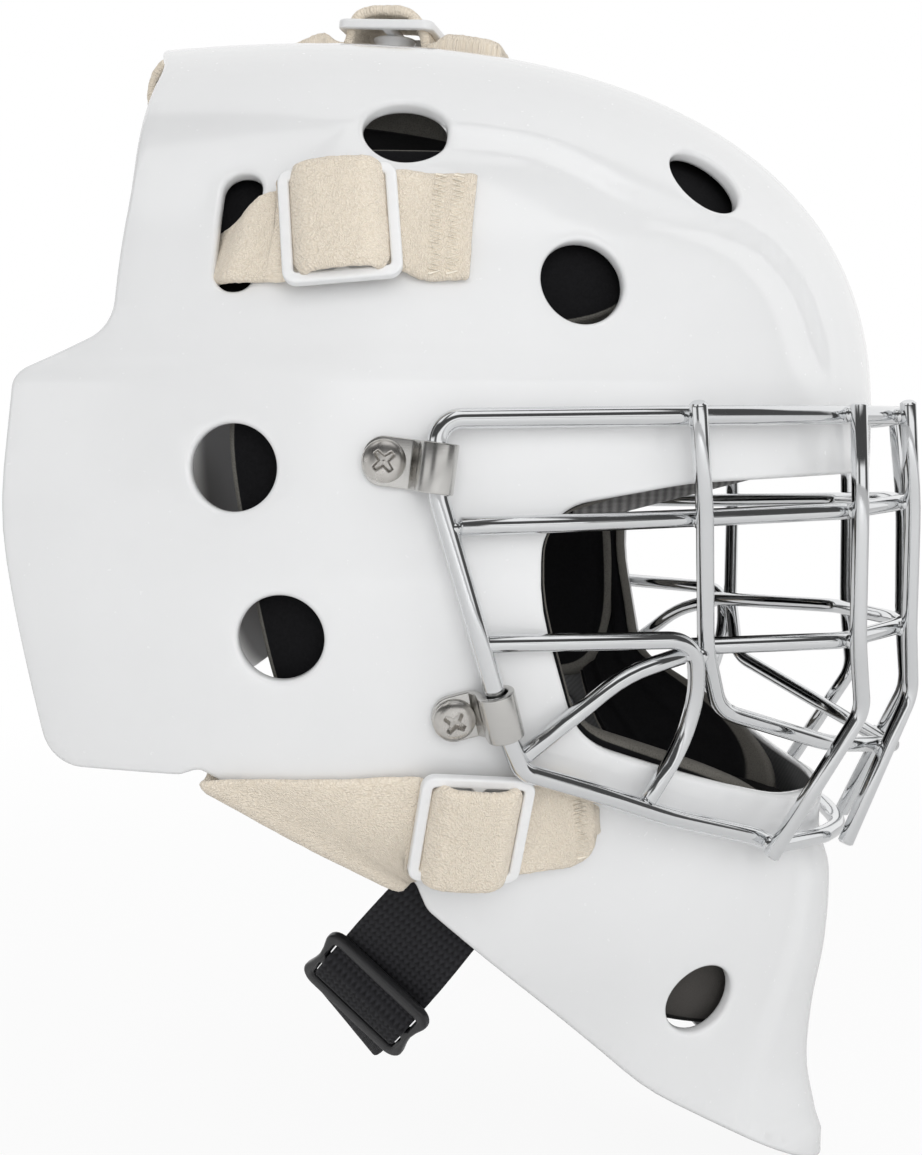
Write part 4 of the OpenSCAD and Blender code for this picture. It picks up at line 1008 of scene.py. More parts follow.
def screw_head():
    """Points and faces of one screw, whose head stands on the plane z = 0."""
    radius = SCREW_HEAD_D / 2
    rho = np.linspace(0, 1, HEAD_RINGS)[1:, None] ** 0.9
    turn_a = np.arange(HEAD_SIDES) * 360 / HEAD_SIDES
    x, y = rho * radius * cosd(turn_a), rho * radius * sind(turn_a)
    domed = np.sqrt(np.maximum(0, 1 - (rho * 0.985) ** 2.6)) * np.ones_like(x)
    high = HEAD_EDGE_H + (HEAD_H - HEAD_EDGE_H) * domed
    a, b = np.abs(x + y) / math.sqrt(2), np.abs(x - y) / math.sqrt(2)
    arm = np.minimum(a, b) - np.interp(np.maximum(a, b), [0, 2.4], ARM_HALF_W)
    arm = np.maximum(arm, np.maximum(a, b) - ARM_REACH)
    high = high - CROSS_DEPTH * ease((0.2 - arm) / 0.3)
    rows = [np.stack([x, y, high], -1)]
    edge = np.stack([radius * cosd(turn_a), radius * sind(turn_a)], -1)
    shank = SHANK_D / SCREW_HEAD_D
    for out, z in ((1.0, 0.5), (0.99, 0.12), (0.96, 0.0), (shank, 0.0), (shank, 0.4 - SHANK_L),
                   (0.8 * shank, -SHANK_L)):
        rows.append(np.concatenate([edge * out, np.full((HEAD_SIDES, 1), z)], 1)[None])
    return capped(np.concatenate(rows), [0, 0, HEAD_H - 1.5], [0, 0, -SHANK_L])


screw_steel = Finish("screw_steel", metallic=1.0)
at = screw_steel.place()
screw_steel.set(base_color=screw_steel.mix(screw_steel.noise(at, 700, 2), (0.56, 0.54, 0.51), (0.72, 0.70, 0.67)),
                roughness=screw_steel.noise(at, 400, 3) * 0.18 + 0.2)
one_screw = outwards(new_mesh("one_screw", *screw_head(), screw_steel.material))
screw_tree, given, result = make_tree("Screws", {"Screw": "Object", "Material": "Material"})
screw = link(screw_tree, "GeometryNodeObjectInfo", {"Object": given.outputs["Screw"]})
run, out = (link(screw_tree, "GeometryNodeInputNamedAttribute", {}, {"data_type": "FLOAT_VECTOR"}, {"Name": key})
            for key in ("run", "out"))
facing = link(screw_tree, "FunctionNodeAxesToRotation", {0: out.outputs[0], 1: run.outputs[0]},
              {"primary_axis": "Z", "secondary_axis": "X"})
many = link(screw_tree, "GeometryNodeInstanceOnPoints", {"Points": given.outputs["Geometry"], "Instance":
                                                         screw.outputs["Geometry"], "Rotation": facing.outputs[0]})
close_tree(screw_tree, many.outputs[0], given, result)
places = [clip_frame(c) for c in CLIPS]
seats = [foot + n * (CLIP_T + 0.02) for foot, _, _, n, _, _ in places]
runs, outs = [row[1] for row in places], [row[3] for row in places]
source = new_mesh("screw_points", [*seats, *map(flipped, seats)], [], screw_steel.material,
                  marks={"run": [*runs, *map(flipped, runs)], "out": [*outs, *map(flipped, outs)]})
screws = grown("cage_screws_turned", source, screw_tree, {"Screw": one_screw, "Material": screw_steel.material})
bpy.data.objects.remove(one_screw)
settle(screws, "mask", "screw_steel", ["cage_screws"])
print("screws:", 2 * len(places), "points:", len(screws.data.vertices))

# %% [markdown]
# ## Elastic straps
# The straps are terry elastic: a flat, thick band with a looped, matt face. A strap lies flat on the
# shell, goes up through its buckle, and runs inside to the back plate. Its route is a list of stations,
# each with both edges, the middle and the way out. A smooth curve through the stations gives a section
# every millimetre, with rounded edges, and fine noise moves the surface so that its edge isn't a ruled
# line. The distance along and across the strap is kept as a UV map for the cloth's texture.


# %% Stations and bands
def through(stations, step):
    """Smooth curve through rows of numbers, evenly spaced by their middle points, centripetal."""
    rows = np.array(stations)
    mid = rows[:, 3:6]
    knots = np.concatenate([[0], np.cumsum(np.linalg.norm(np.diff(mid, axis=0), axis=1) ** 0.5)])
    rows = np.concatenate([[2 * rows[0] - rows[1]], rows, [2 * rows[-1] - rows[-2]]])
    knots = np.concatenate([[-knots[1]], knots, [2 * knots[-1] - knots[-2]]])
    out = []
    for i in range(1, len(rows) - 2):
        p0, p1, p2, p3 = rows[i - 1:i + 3]
        t0, t1, t2, t3 = knots[i - 1:i + 3]
        h = t2 - t1
        m1 = h * ((p1 - p0) / (t1 - t0) - (p2 - p0) / (t2 - t0) + (p2 - p1) / h)
        m2 = h * ((p2 - p1) / h - (p3 - p1) / (t3 - t1) + (p3 - p2) / (t3 - t2))
        n = max(2, math.ceil(np.linalg.norm(p2[3:6] - p1[3:6]) / step))
        for u in np.arange(n) / n:
            out.append((2 * u ** 3 - 3 * u ** 2 + 1) * p1 + (u ** 3 - 2 * u ** 2 + u) * m1
                       + (3 * u ** 2 - 2 * u ** 3) * p2 + (u ** 3 - u ** 2) * m2)
    return np.array(out + [rows[-2]])


def band_section(half_w, thick, across=14, edge=6):
    """Cross-section as [share across, share out], a flat band with half-round edges."""
    rho = thick / 2 / half_w
    out = [(w, 1.0) for w in np.linspace(-1 + rho, 1 - rho, across)]
    out += [(1 - rho + rho * cosd(a), 0.5 + 0.5 * sind(a)) for a in np.linspace(90, -90, edge)[1:-1]]
    out += [(w, 0.0) for w in np.linspace(1 - rho, -1 + rho, across)]
    out += [(-1 + rho - rho * cosd(a), 0.5 + 0.5 * sind(a)) for a in np.linspace(-90, 90, edge)[1:-1]]
    return np.array(out)


def band(name, stations, thick, finish, step=1.0, across=14, round_end=0.0):
    """A flat band through stations of [one edge, middle, other edge, way out, layers]."""
    rows = through([np.concatenate([np.ravel(k[0]), np.ravel(k[1]), np.ravel(k[2]), np.ravel(k[3]), [k[4]]])
                    for k in stations], step)
    low, mid, high, given_out, layers = rows[:, :3], rows[:, 3:6], rows[:, 6:9], rows[:, 9:12], rows[:, 12:]
    run = unit(np.gradient(mid, axis=0))
    wide = high - low
    out = unit(np.cross(run, wide))
    out = out * np.sign((out * given_out).sum(1, keepdims=True))
    long = np.concatenate([[0], np.cumsum(np.linalg.norm(np.diff(mid, axis=0), axis=1))])
    half_w = np.linalg.norm(wide, axis=1) / 2
    section = band_section(half_w.mean(), thick, across)
    rings, uv = [], []

    def ring(k, slide=0.0, flat=1.0, narrow=1.0):
        w = section[:, :1] * narrow
        h = 0.5 + (section[:, 1:] - 0.5) * flat
        p = mid[k] + wide[k] / 2 * w + (low[k] + high[k] - 2 * mid[k]) / 2 * w * w
        rings.append(p + out[k] * thick * layers[k] * h + run[k] * slide)
        uv.append(np.c_[np.full(len(section), long[k] + slide), section[:, 0] * half_w[k]])

    def trim(k):
        ahead = max(0, 1 - long[k] / round_end) if round_end else 0
        return 1 - (1 - math.sqrt(1 - ahead ** 2)) * round_end / half_w[k]

    tuck = thick / 2
    for a in (80, 50, 20):
        ring(0, -tuck * sind(a), max(cosd(a), 0.12), trim(0) - 0.04 * (1 - cosd(a)))
    for k in range(len(mid)):
        ring(k, narrow=trim(k))
    for a in (20, 50, 80):
        ring(len(mid) - 1, tuck * sind(a), max(cosd(a), 0.12), 1 - 0.04 * (1 - cosd(a)))
    points, faces = loft(rings)
    return outwards(new_mesh(name, points, faces, finish.material, uv=np.concatenate(uv)))


def lattice_noise(p, seed, period=32):
    """Smooth noise between -1 and 1 at points in units of its own cells, the same on each run."""
    grid = np.random.default_rng(seed).uniform(-1, 1, (period,) * 3)
    i = np.floor(p).astype(int)
    f = ease(p - i)
    total = 0
    for corner in np.ndindex(2, 2, 2):
        weight = np.prod([f[:, k] if corner[k] else 1 - f[:, k] for k in range(3)], axis=0)
        total = total + weight * grid[tuple(((i[:, k] + corner[k]) % period) for k in range(3))]
    return total


def roughen(piece, amount, size, seed):
    """Moves each point along its normal by noise of a given depth and grain, in millimetres."""
    mesh = piece.data
    co, no = np.zeros(len(mesh.vertices) * 3), np.zeros(len(mesh.vertices) * 3)
    mesh.vertices.foreach_get("co", co)
    mesh.vertex_normals.foreach_get("vector", no)
    p = co.reshape(-1, 3)
    shift = lattice_noise(p / (size * MM), seed) + 0.6 * lattice_noise(p / (size * MM * 2.7), seed + 1)
    mesh.vertices.foreach_set("co", (p + no.reshape(-1, 3) * shift[:, None] * amount * MM).ravel())
    mesh.update()
    return piece


# %% [markdown]
# Terry cloth is a mat of small yarn loops, which lie in rows across the band. Stretched cells give the
# loops, a second finer layer gives the yarn, and the hollows between the loops are coloured darker and
# warmer, which is painted shade.
# A soft sheen lights the fluffy surface at a glancing view.

# %% Finish of the elastic
elastic = Finish("elastic", roughness=0.95, sheen_weight=0.35, sheen_roughness=0.6, sheen_tint=(1, 0.96, 0.9))
along, across = elastic.run()
wobble = elastic.noise(elastic.vector(along, across), 0.35, 2)
loops_at = elastic.vector(along * 3.0 + wobble * 3.0, across * 2.3 + wobble * 2.4)
tuft = elastic.cells(loops_at, 1.0)
yarn = elastic.noise(elastic.vector(along, across), 6.0, 2, 0.7)
worn = elastic.noise(elastic.vector(along, across), 0.12, 2)
# The hollows between the loops are coloured darker: painted shade.
hollow_shade = tuft.between(0.0, 1.0)
tone = elastic.mix(hollow_shade * 0.8 + yarn * 0.2, (0.97, 0.88, 0.75), (0.78, 0.68, 0.545))
elastic.set(base_color=elastic.mix(worn.between(0.35, 0.7) * 0.25, tone, (0.89, 0.79, 0.65)))
elastic.bump(yarn * 0.4 - tuft, 0.5, 0.8)
print("finish of the elastic:", len(elastic.tree.nodes), "nodes")

# %% [markdown]
# The routes are written as a fitter would describe them: flat on the side, up through the buckle, over
# its middle bar, through the slot or round the edge, and on to the back plate. Small functions give the
# stations that come up again and again, so a route is a list of such words.

# %% Words for the stations
# Places of the buckles on the side, as Y and Z, and on the crown
SIDE_BUCKLES = [(6.8, SLOT_Z), (-17.8, -47.5)]
TOP_BUCKLE_Y = 18
BUCKLE_T, BUCKLE_BAR, BUCKLE_L = 2.4, 2.4, 25
BUCKLE_OFF, TOP_BUCKLE_OFF = STRAP_T + 2 * CLEAR, 2 * STRAP_T + 2 * CLEAR
# The strap is pinched in the windows and full again over the middle bar
PINCHED, PATCH_HALF_W, BUCKLE_LEAN = 0.9 * STRAP_W / 2, 12.5, 5
PLATE_HALF_W, PLATE_HALF_H, PLATE_Y, PLATE_Z, PLATE_T = 62, 52, 78, 42, 2.8


def plate_point(u, v):
    """Point of the back plate's rear face, from -1 to 1 across and up."""
    u, v = np.broadcast_arrays(np.asarray(u, float), np.asarray(v, float))
    return np.stack([PLATE_HALF_W * u * (1 - 0.14 * v ** 4), PLATE_Y - 19 * u * u - 7 * v * v,
                     PLATE_Z + PLATE_HALF_H * v * (1 - 0.14 * u ** 4)], -1)


def lain(y, z, off):
    """Station of a strap that lies on the side."""
    h = STRAP_W / 2
    return [side(y, z - h, off), side(y, z, off), side(y, z + h, off), side_normal(y, z), 1]


def crossed(y, off, layers=1):
    """Station of a strap that lies over the crown, in one layer or two."""
    h = STRAP_W / 2
    return [crown(-h, y, off), crown(0, y, off), crown(h, y, off), crown_normal(0, y), layers]


def free(p, w, n, half=STRAP_W / 2):
    """Station in the air, from its middle, its width direction and the way out."""
    p, w, n = np.asarray(p, float), np.asarray(w, float), np.asarray(n, float)
    return [p - w * half, p, p + w * half, n, 1]


def side_frame(b):
    """Back, up and out at a side buckle, which leans a few degrees as the photograph shows it."""
    n = side_normal(*b)
    x = unit([-n[1], n[0], 0])
    up, lean = np.cross(n, x), BUCKLE_LEAN if b[1] > 0 else -BUCKLE_LEAN
    return x * cosd(lean) - up * sind(lean), up * cosd(lean) + x * sind(lean), n


def top_frame():
    """Back, left and out at the buckle on the crown."""
    n = crown_normal(0, TOP_BUCKLE_Y)
    return np.cross(n, [1, 0, 0]), np.array([1.0, 0, 0]), n


def threaded(p, f, under):
    """The strap comes under one end bar, over the middle bar and down under the other."""
    over = under + BUCKLE_T + CLEAR
    rise = [(12.4, CLEAR), (9.9, 0.4 + CLEAR), (8.1, under - 0.2), (7.0, over - 1.1), (5.6, over + 0.2),
            (3.2, over + 0.8)]
    steps = [(-a, h) for a, h in rise] + [(0, over + 1.0)] + rise[::-1]
    return [free(p + f[0] * a + f[2] * h, f[1], f[2],
                 PATCH_HALF_W if abs(a) < 7.5 else PINCHED if abs(a) < 11 else STRAP_W / 2 + 0.2) for a, h in steps]


def spread(low, high, off, out):
    """Station between two side points (y, z), with one gap to the form for each edge."""
    m, mid_off = (np.array(low) + high) / 2, (off[0] + off[1]) / 2
    return [side(*low, off[0]), side(*m, mid_off), side(*high, off[1]), out, 1]


# %% Routes of the straps
def upper_strap_stations():
    b, n = SIDE_BUCKLES[0], side_normal(SLOT_Y, SLOT_Z)
    low, high, deep = SLOT_Z - STRAP_W / 2, SLOT_Z + STRAP_W / 2, -WALL - 2 - STRAP_T
    back = [free(plate_point(u, 0.43) + [0, 1.3, 0], [0, 0, 1], unit([0.5 * u, 0.9, 0])) for u in (0.88, 0.74, 0.6)]
    return [lain(b[0] - 25.5, SLOT_Z, CLEAR), lain(b[0] - 17, SLOT_Z, CLEAR),
            *threaded(side(*b), side_frame(b), BUCKLE_OFF),
            spread((b[0] + 14, low - 0.4), (b[0] + 12.5, high - 2.6), (CLEAR, CLEAR), n),
            spread((SLOT_Y - 1, low - 0.4), (SLOT_Y - 5.5, high - 5), (CLEAR, CLEAR), n),
            spread((SLOT_Y + 3, low), (SLOT_Y - 1.5, high - 9), (-2.4, -2.4), n),
            spread((SLOT_Y + 6.5, low + 1), (SLOT_Y + 4, high - 9), (deep, deep), unit(n + [0, 0.6, 0])),
            free(side(SLOT_Y + 6, SLOT_Z - 3, deep) + [-15, 15, -5], [0, 0, 1], unit([0.7, 0.7, 0]), 10),
            free(plate_point(1.04, 0.45) + [1, 3.5, 0], [0, 0, 1], unit([0.6, 0.8, 0])), *back]


# Ends of the fold, as Y and Z on the side, and the way out of the shell's edge there
FOLD_LOW, FOLD_HIGH = np.array([-4.5, -61.3]), np.array([36.5, -36.2])
FOLD_OUT = unit([0, 0.52, -0.854])


def folded(off, out, n):
    """Station on the line where the lower strap folds round the shell's edge."""
    m = (FOLD_LOW + FOLD_HIGH) / 2
    return [side(*FOLD_LOW, off) + FOLD_OUT * out, side(*m, off) + FOLD_OUT * out,
            side(*FOLD_HIGH, off) + FOLD_OUT * out, np.asarray(n, float), 1]


def lower_strap_stations():
    b, h = SIDE_BUCKLES[1], STRAP_W / 2
    n, up, deep = side_normal(16, -46), unit([0.35, 0, 0.94]), -WALL - CLEAR
    start = b[0] + 10.3

    def slanted(k):
        low = np.array([start, b[1] - h]) * (1 - k) + FOLD_LOW * k
        high = np.array([start, b[1] + h]) * (1 - k) + FOLD_HIGH * k
        return spread(low, high, (CLEAR, CLEAR), side_normal(*((low + high) / 2)))

    back = [free(plate_point(u, -0.45) + [0, 1.3, 0], up, unit([0.5 * u, 0.9, 0])) for u in (0.84, 0.72, 0.6)]
    return [lain(b[0] - 26, b[1], CLEAR), lain(b[0] - 16, b[1], CLEAR),
            *threaded(side(*b), side_frame(b), BUCKLE_OFF),
            slanted(0.35), slanted(0.7), folded(CLEAR, 0.4, n), folded(-WALL / 2, 1, FOLD_OUT),
            folded(deep, 0.4, -n), spread((10, -50), (38, -26), (deep - 3, deep - 3), -n),
            spread((34, -38), (44, -18), (deep - 9, deep - 9), -n),
            free([78, 59, -13], [0.2, -0.1, 0.97], unit([0.6, 0.8, 0])),
            free(plate_point(1, -0.45) + [0, 4, 0], up, unit([0.5, 0.9, 0])), *back]


def top_strap_stations():
    over, level = crown(0, 72), [1, 0, 0]
    back = [free(plate_point(0, v) + [0, 0.7, 0], level, unit([0, 1, 0.14 * v])) for v in (0.92, 0.78, 0.64)]
    return [crossed(TOP_BUCKLE_Y - 28, CLEAR, 2), crossed(TOP_BUCKLE_Y - 15, CLEAR, 2),
            *threaded(crown(0, TOP_BUCKLE_Y), top_frame(), TOP_BUCKLE_OFF),
            *[crossed(TOP_BUCKLE_Y + d, CLEAR, 2 if d < 20 else 1) for d in (16, 25, 34, 43, 52)],
            free(over + [0, 4.8, -1.5], level, unit([0, 0.8, 0.6])),
            free(over + [0, 7.8, -7], level, unit([0, 1, 0.1])),
            free(plate_point(0, 1.02) + [0, 3, 2], level, unit([0, 1, 0.1])), *back]


# %% The five straps
LOOP_DEPTH, LOOP_GRAIN, STRAP_STEP, STRAP_POINTS = 0.15, 0.85, 0.8, 18
straps = {}
# The last number is the radius that the cut end is trimmed to
for name, stations, trim in (("upper_strap_left", upper_strap_stations(), 0),
                             ("lower_strap_left", lower_strap_stations(), 9), ("top_strap", top_strap_stations(), 4)):
    piece = band(name + "_elastic", stations, STRAP_T, elastic, STRAP_STEP, STRAP_POINTS, trim)
    straps[name] = roughen(piece, LOOP_DEPTH, LOOP_GRAIN, seed=7)
for name in ("upper_strap", "lower_strap"):
    straps[name + "_right"] = mirrored(straps[name + "_left"], name + "_right_elastic")
for name, piece in straps.items():
    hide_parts(name)
print("straps:", len(straps), "points in one:", len(straps["upper_strap_left"].data.vertices))

# %% [markdown]
# The cut end of each side strap is locked with narrow zigzag seams. A seam is one thread that runs to and
# fro beside the end, and the wire tree from the cage makes it round: a tree with named inputs serves twice.

# %% Seams
thread = Finish("thread", roughness=0.9, base_color=(0.95, 0.88, 0.76))


def seam(b, start, low, high):
    """A zigzag seam beside the end of a side strap, between two heights from the strap's middle."""
    z = np.arange(low, high, 0.55)
    y = b[0] - 25.5 + start + np.where(np.arange(len(z)) % 2, 0, 2.2)
    bulge = lattice_noise(np.c_[y, z, 0 * z], 5) * 0.08
    return side(y, b[1] + z, CLEAR + STRAP_T - 0.03 + bulge)


SEAMS = [("upper", SIDE_BUCKLES[0], (1.4, 5.0), 10.5), ("lower", SIDE_BUCKLES[1], (1.6,), 8.7)]
for level, b, starts, reach in SEAMS:
    for k, start in enumerate(starts):
        piece = wire(f"{level}_strap_left_seam_{k}", seam(b, start, -reach, reach), 0.5, thread, sides=8, chamfer=0.2)
        settle_pair(piece, "mask", "elastic")
print("seams on each side:", sum(len(row[2]) for row in SEAMS))

# %% [markdown]
# The straps cross the gap between the shell and the back plate, which swings on them. Here each strap's
# transform is put into its points, and the stretch over which it would bend between the two bodies is
# printed; the points are not moved, and the straps ride on no body.

# %% The straps' transforms, and where they would bend
# Where each left strap would start to follow the plate, and where it would follow it fully, in metres
BENDS = {"top": ((0, 0.080, 0.128), (0, 0.080, 0.094)),
         "upper": ((0.086, 0.044, 0.077), (0.056, 0.066, 0.066)),
         "lower": ((0.080, 0.028, -0.046), (0.056, 0.064, 0.016))}
for name, piece in straps.items():
    hand = 1 if name.endswith("left") else -1
    start, end = ((hand * x, y, z) for x, y, z in BENDS[name.split("_")[0]])
    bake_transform(piece)
    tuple(start)
    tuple(end)
    print(name, "bends from", start, "to", end)

# %% [markdown]
# ## Buckles
# A buckle is a small moulded frame with three bars. A filled 2D curve with two windows, extruded and
# bevelled, gives it soft edges in a few lines. It is made a mesh in its own plane, then turned to lie
# on the shell.

# %% Buckles
buckle_plastic = Finish("buckle_plastic", coat_weight=0.3, coat_roughness=0.12)
at = buckle_plastic.place()
scuff = buckle_plastic.noise(at, 500, 3)
buckle_plastic.set(base_color=buckle_plastic.mix(scuff, (0.80, 0.805, 0.81), (0.86, 0.865, 0.87)),
                   roughness=scuff * 0.14 + 0.24)
buckle_plastic.bump(buckle_plastic.noise(at, 1500, 1), 0.02, 0.3)


def plate_with_windows(name, corners, windows, thick, soft, finish, matrix):
    """A flat frame with rounded outline and windows, lying from 0 to its thickness, in a given place."""
    curve = bpy.data.curves.new(name, "CURVE")
    curve.dimensions, curve.fill_mode = "2D", "BOTH"
    curve.extrude, curve.bevel_depth = (thick / 2 - soft) * MM, soft * MM
    curve.bevel_resolution, curve.offset = 3, -soft * MM
    for shape in [corners, *windows]:
        ring = bent([((x, y), r) for x, y, r in shape], closed=True, step=15)
        add_route(curve, np.c_[ring, np.zeros(len(ring))], closed=True)
    source = bpy.data.objects.new(name, curve)
    mesh = bpy.data.meshes.new_from_object(source)
    bpy.data.objects.remove(source)
    mesh.transform(matrix @ Matrix.Translation((0, 0, thick / 2 * MM)))
    mesh.materials.clear()
    mesh.materials.append(finish.material)
    mesh.name = name
    piece = outwards(shown(name, mesh), merge=0.02)
    mesh.polygons.foreach_set("use_smooth", [True] * len(mesh.polygons))
    return piece


def placing(point, axes):
    """Matrix that puts a plane's X, Y and Z on three directions at a point."""
    m = Matrix(np.array(axes).T.tolist()).to_4x4()
    m.translation = np.asarray(point) * MM
    return m


def box_corners(x, y, r, cx=0.0):
    """Corners of a rectangle of half sizes x and y, with a corner radius."""
    return [(cx + x, y, r), (cx - x, y, r), (cx - x, -y, r), (cx + x, -y, r)]


def buckle(name, point, axes, under, slid=0.0):
    """A three-bar buckle over a strap, moved a little along its bars where the strap has crept."""
    half_w = PINCHED + CLEAR + BUCKLE_BAR
    window = (BUCKLE_L - 3 * BUCKLE_BAR) / 2
    holes = [box_corners(window / 2, half_w - BUCKLE_BAR, 0.8, s * (BUCKLE_BAR + window) / 2) for s in (-1, 1)]
    return plate_with_windows(name, box_corners(BUCKLE_L / 2, half_w, 3), holes, BUCKLE_T, 0.55, buckle_plastic,
                              placing(point + axes[2] * under + axes[1] * slid, axes))


# The band has crept over one side bar of each side buckle, as in the photograph
BUCKLE_SLID = 1.0
piece = buckle("top_buckle_frame", crown(0, TOP_BUCKLE_Y), top_frame(), TOP_BUCKLE_OFF)
settle(piece, "mask", "buckle_plastic", ["top_buckle"])
for b, level, slid in zip(SIDE_BUCKLES, ("upper", "lower"), (-BUCKLE_SLID, BUCKLE_SLID)):
    piece = buckle(f"{level}_buckle_left_frame", side(*b), side_frame(b), BUCKLE_OFF, slid)
    settle_pair(piece, "mask", "buckle_plastic", f"{level}_buckle_left")
print("buckles:", 1 + 2 * len(SIDE_BUCKLES), "size", [round(v * 1000, 1) for v in piece.dimensions])

# %% [markdown]
# The buckle on the crown stands on a collar that the photograph shows from the side. A turned part like
# this is a profile of radii and heights, carried round its axis.

# %% Collar under the top buckle
# Heights and radii of the collar's profile
COLLAR = [(0.0, 5.6), (0.25, 6.1), (1.3, 6.1), (1.6, 5.3), (2.0, 5.1), (4.1, 5.1), (4.6, 5.6), (5.2, 5.7), (5.4, 5.4)]
back, level, up = top_frame()
spin = np.arange(0, 360, 6)
around = cosd(spin)[:, None] * back + sind(spin)[:, None] * level
foot = crown(0, TOP_BUCKLE_Y, CLEAR)
collar = new_mesh("top_buckle_collar", *loft([foot + up * h + around * r for h, r in COLLAR]), buckle_plastic.material)
settle(outwards(collar), "mask", "buckle_plastic")
print("collar:", len(collar.data.vertices), "points")

# %% [markdown]
# ## Back plate and cushions
# The plate behind the head and the foam cushions inside are all made by one function: a disc of rings
# laid over a patch of the form, whose outline is a rounded square. The rings near the rim turn over it,
# so each cushion has a soft edge and a side wall. A cushion is full in the middle and drawn in at its
# sides, and a shallow groove follows its border where the cover is sewn to the foam.


# %% Cushions
def pillow(name, surface, thick, finish, corner=5.0, rim=2.0, size=40.0, groove=0.0, rings=30, sides=140,
           channels=()):
    """A cushion over a patch: surface(u, v, h) is the point h above the patch, thick(u, v) its height."""
    a = np.arange(sides) * 360 / sides
    # Rounded square: corner is the exponent, 2 is a circle
    reach = (np.abs(cosd(a)) ** corner + np.abs(sind(a)) ** corner) ** (-1 / corner)
    du, dv = cosd(a) * reach, sind(a) * reach
    rho_in = 1 - rim / size
    rows, edge, back = [], [], []

    def ring(rho, h, edge_mark=0.0, back_mark=0.0):
        rows.append(surface(du * rho, dv * rho, h))
        edge.append(np.full(sides, edge_mark))
        back.append(np.full(sides, back_mark))

    for rho in np.linspace(0, 1, rings)[1:] * rho_in:
        u, v = du * rho, dv * rho
        sewn = np.exp(-((rho - 0.9) * size / 1.1) ** 2)
        for channel in channels:
            sewn = np.maximum(sewn, np.exp(-(channel(u, v) * size / 1.2) ** 2))
        ring(rho, thick(u, v) - groove * sewn)
    edge_h = thick(du * rho_in, dv * rho_in)
    soft = np.minimum(rim, edge_h * 0.45)
    profile = [(sind(b), 1 - cosd(b), 1) for b in (22, 45, 68, 90)] + [(sind(b), 1 - cosd(b), 0) for b in (68, 45, 22)]
    for far, fall, top in profile:
        ring(rho_in + rim / size * far, edge_h - soft * fall if top else soft * fall, edge_mark=min(1.0, far * 1.15))
    for rho in np.linspace(1, 0, 9)[:-1] * rho_in:
        ring(rho, np.zeros(sides), back_mark=1.0)
    zero = np.zeros(1)
    points, faces = capped(rows, surface(zero, zero, thick(zero, zero))[0], surface(zero, zero, zero)[0])
    marks = {"edge": np.concatenate([*edge, [0, 0]]), "back": np.concatenate([*back, [0, 1]])}
    return outwards(new_mesh(name, points, faces, finish.material, marks=marks))


def crowned(u, v):
    """Share of the full height: 1 in the middle, 0.4 at the sides."""
    return 0.4 + 0.6 * np.sqrt(np.clip((1 - u ** 4) * (1 - v ** 4), 0, 1))


# %% [markdown]
# The liner is foam with a brushed black face, coloured darker than real black foam: part of that darkness
# is painted shade for the inside of the mask. Where it is cut, its edge shows the paler open cells. The
# mark that the cushion keeps for its rim tells the material where that edge is.

# %% Foam
def foam(name, face_a, face_b, cut, mesh_scale=1500):
    """Brushed foam: a dark nap on its face, and a paler, open-celled cut edge."""
    made = Finish(name, roughness=0.95, specular_ior_level=0.06, sheen_weight=0.02, sheen_roughness=0.5)
    at = made.place()
    nap, blotch, pores = made.noise(at, mesh_scale, 3, 0.7), made.noise(at, 60, 2), made.noise(at, 3200, 1)
    face = made.mix(nap * 0.7 + blotch * 0.3, face_a, face_b)
    open_cut = made.mix(pores.between(0.25, 0.6), tuple(0.7 * c for c in cut), cut)
    edge = (made.mark("edge") + (nap - 0.5) * 0.1).between(0.35, 0.55)
    made.set(base_color=made.mix(edge, face, open_cut))
    made.bump(nap * 0.5 + pores * edge * 0.8, 0.25, 0.7)
    return made


# These blacks are darker than real black foam: part of their darkness is painted shade for the inside of the mask.
SHADED_BLACK_A, SHADED_BLACK_B, TAUPE = (0.003, 0.003, 0.0032), (0.015, 0.015, 0.0165), (0.16, 0.155, 0.14)
liner_foam = foam("liner_foam", SHADED_BLACK_A, SHADED_BLACK_B, TAUPE)
jaw_foam = foam("jaw_foam", SHADED_BLACK_A, SHADED_BLACK_B, (0.15, 0.143, 0.128))
chin_fabric = foam("chin_fabric", (0.05, 0.047, 0.044), (0.085, 0.08, 0.075), (0.012, 0.012, 0.012), 2200)
print("foams:", [made.material.name for made in (liner_foam, jaw_foam, chin_fabric)])

# %% [markdown]
# Each cushion lies on a patch of the form: part of the wall between two angles and two heights, part of
# the crown, or a four-cornered piece of the side. One patch is special: it follows the edge of the face
# port, so the lining shows along it as in the photograph. The crown, side, ear and jaw pads are made on the
# left and mirrored.

# %% Patches and pads
SEAT = WALL + 2 * INSIDE + 1.2
FOAM_T, BAND_T = 12, 3


def patch(form, a, b):
    """Patch inside the form, skin or crown, between two limits of its first and of its second value."""
    def surface(u, v, h):
        p = (a[0] + a[1]) / 2 + (a[1] - a[0]) / 2 * u * (1 - 0.12 * v ** 4)
        q = (b[0] + b[1]) / 2 + (b[1] - b[0]) / 2 * v * (1 - 0.12 * u ** 4)
        return form(p, q, -SEAT - h)
    return surface


def on_side(corners):
    """Patch of the inside of the side between four points (y, z)."""
    a, b, c, d = (np.array(k, float)[:, None, None] for k in corners)

    def surface(u, v, h):
        u, v = np.atleast_1d(u), np.atleast_1d(v)
        i, j = (1 + u * (1 - 0.06 * v ** 4)) / 2, (1 + v * (1 - 0.06 * u ** 4)) / 2
        y, z = ((a * (1 - i) + b * i) * (1 - j) + (d * (1 - i) + c * i) * j)[:, 0]
        return side(y, z, -SEAT - h)
    return surface


def full(t):
    """Height of a cushion of thickness t at each place of its patch."""
    return lambda u, v: t * crowned(u, v)


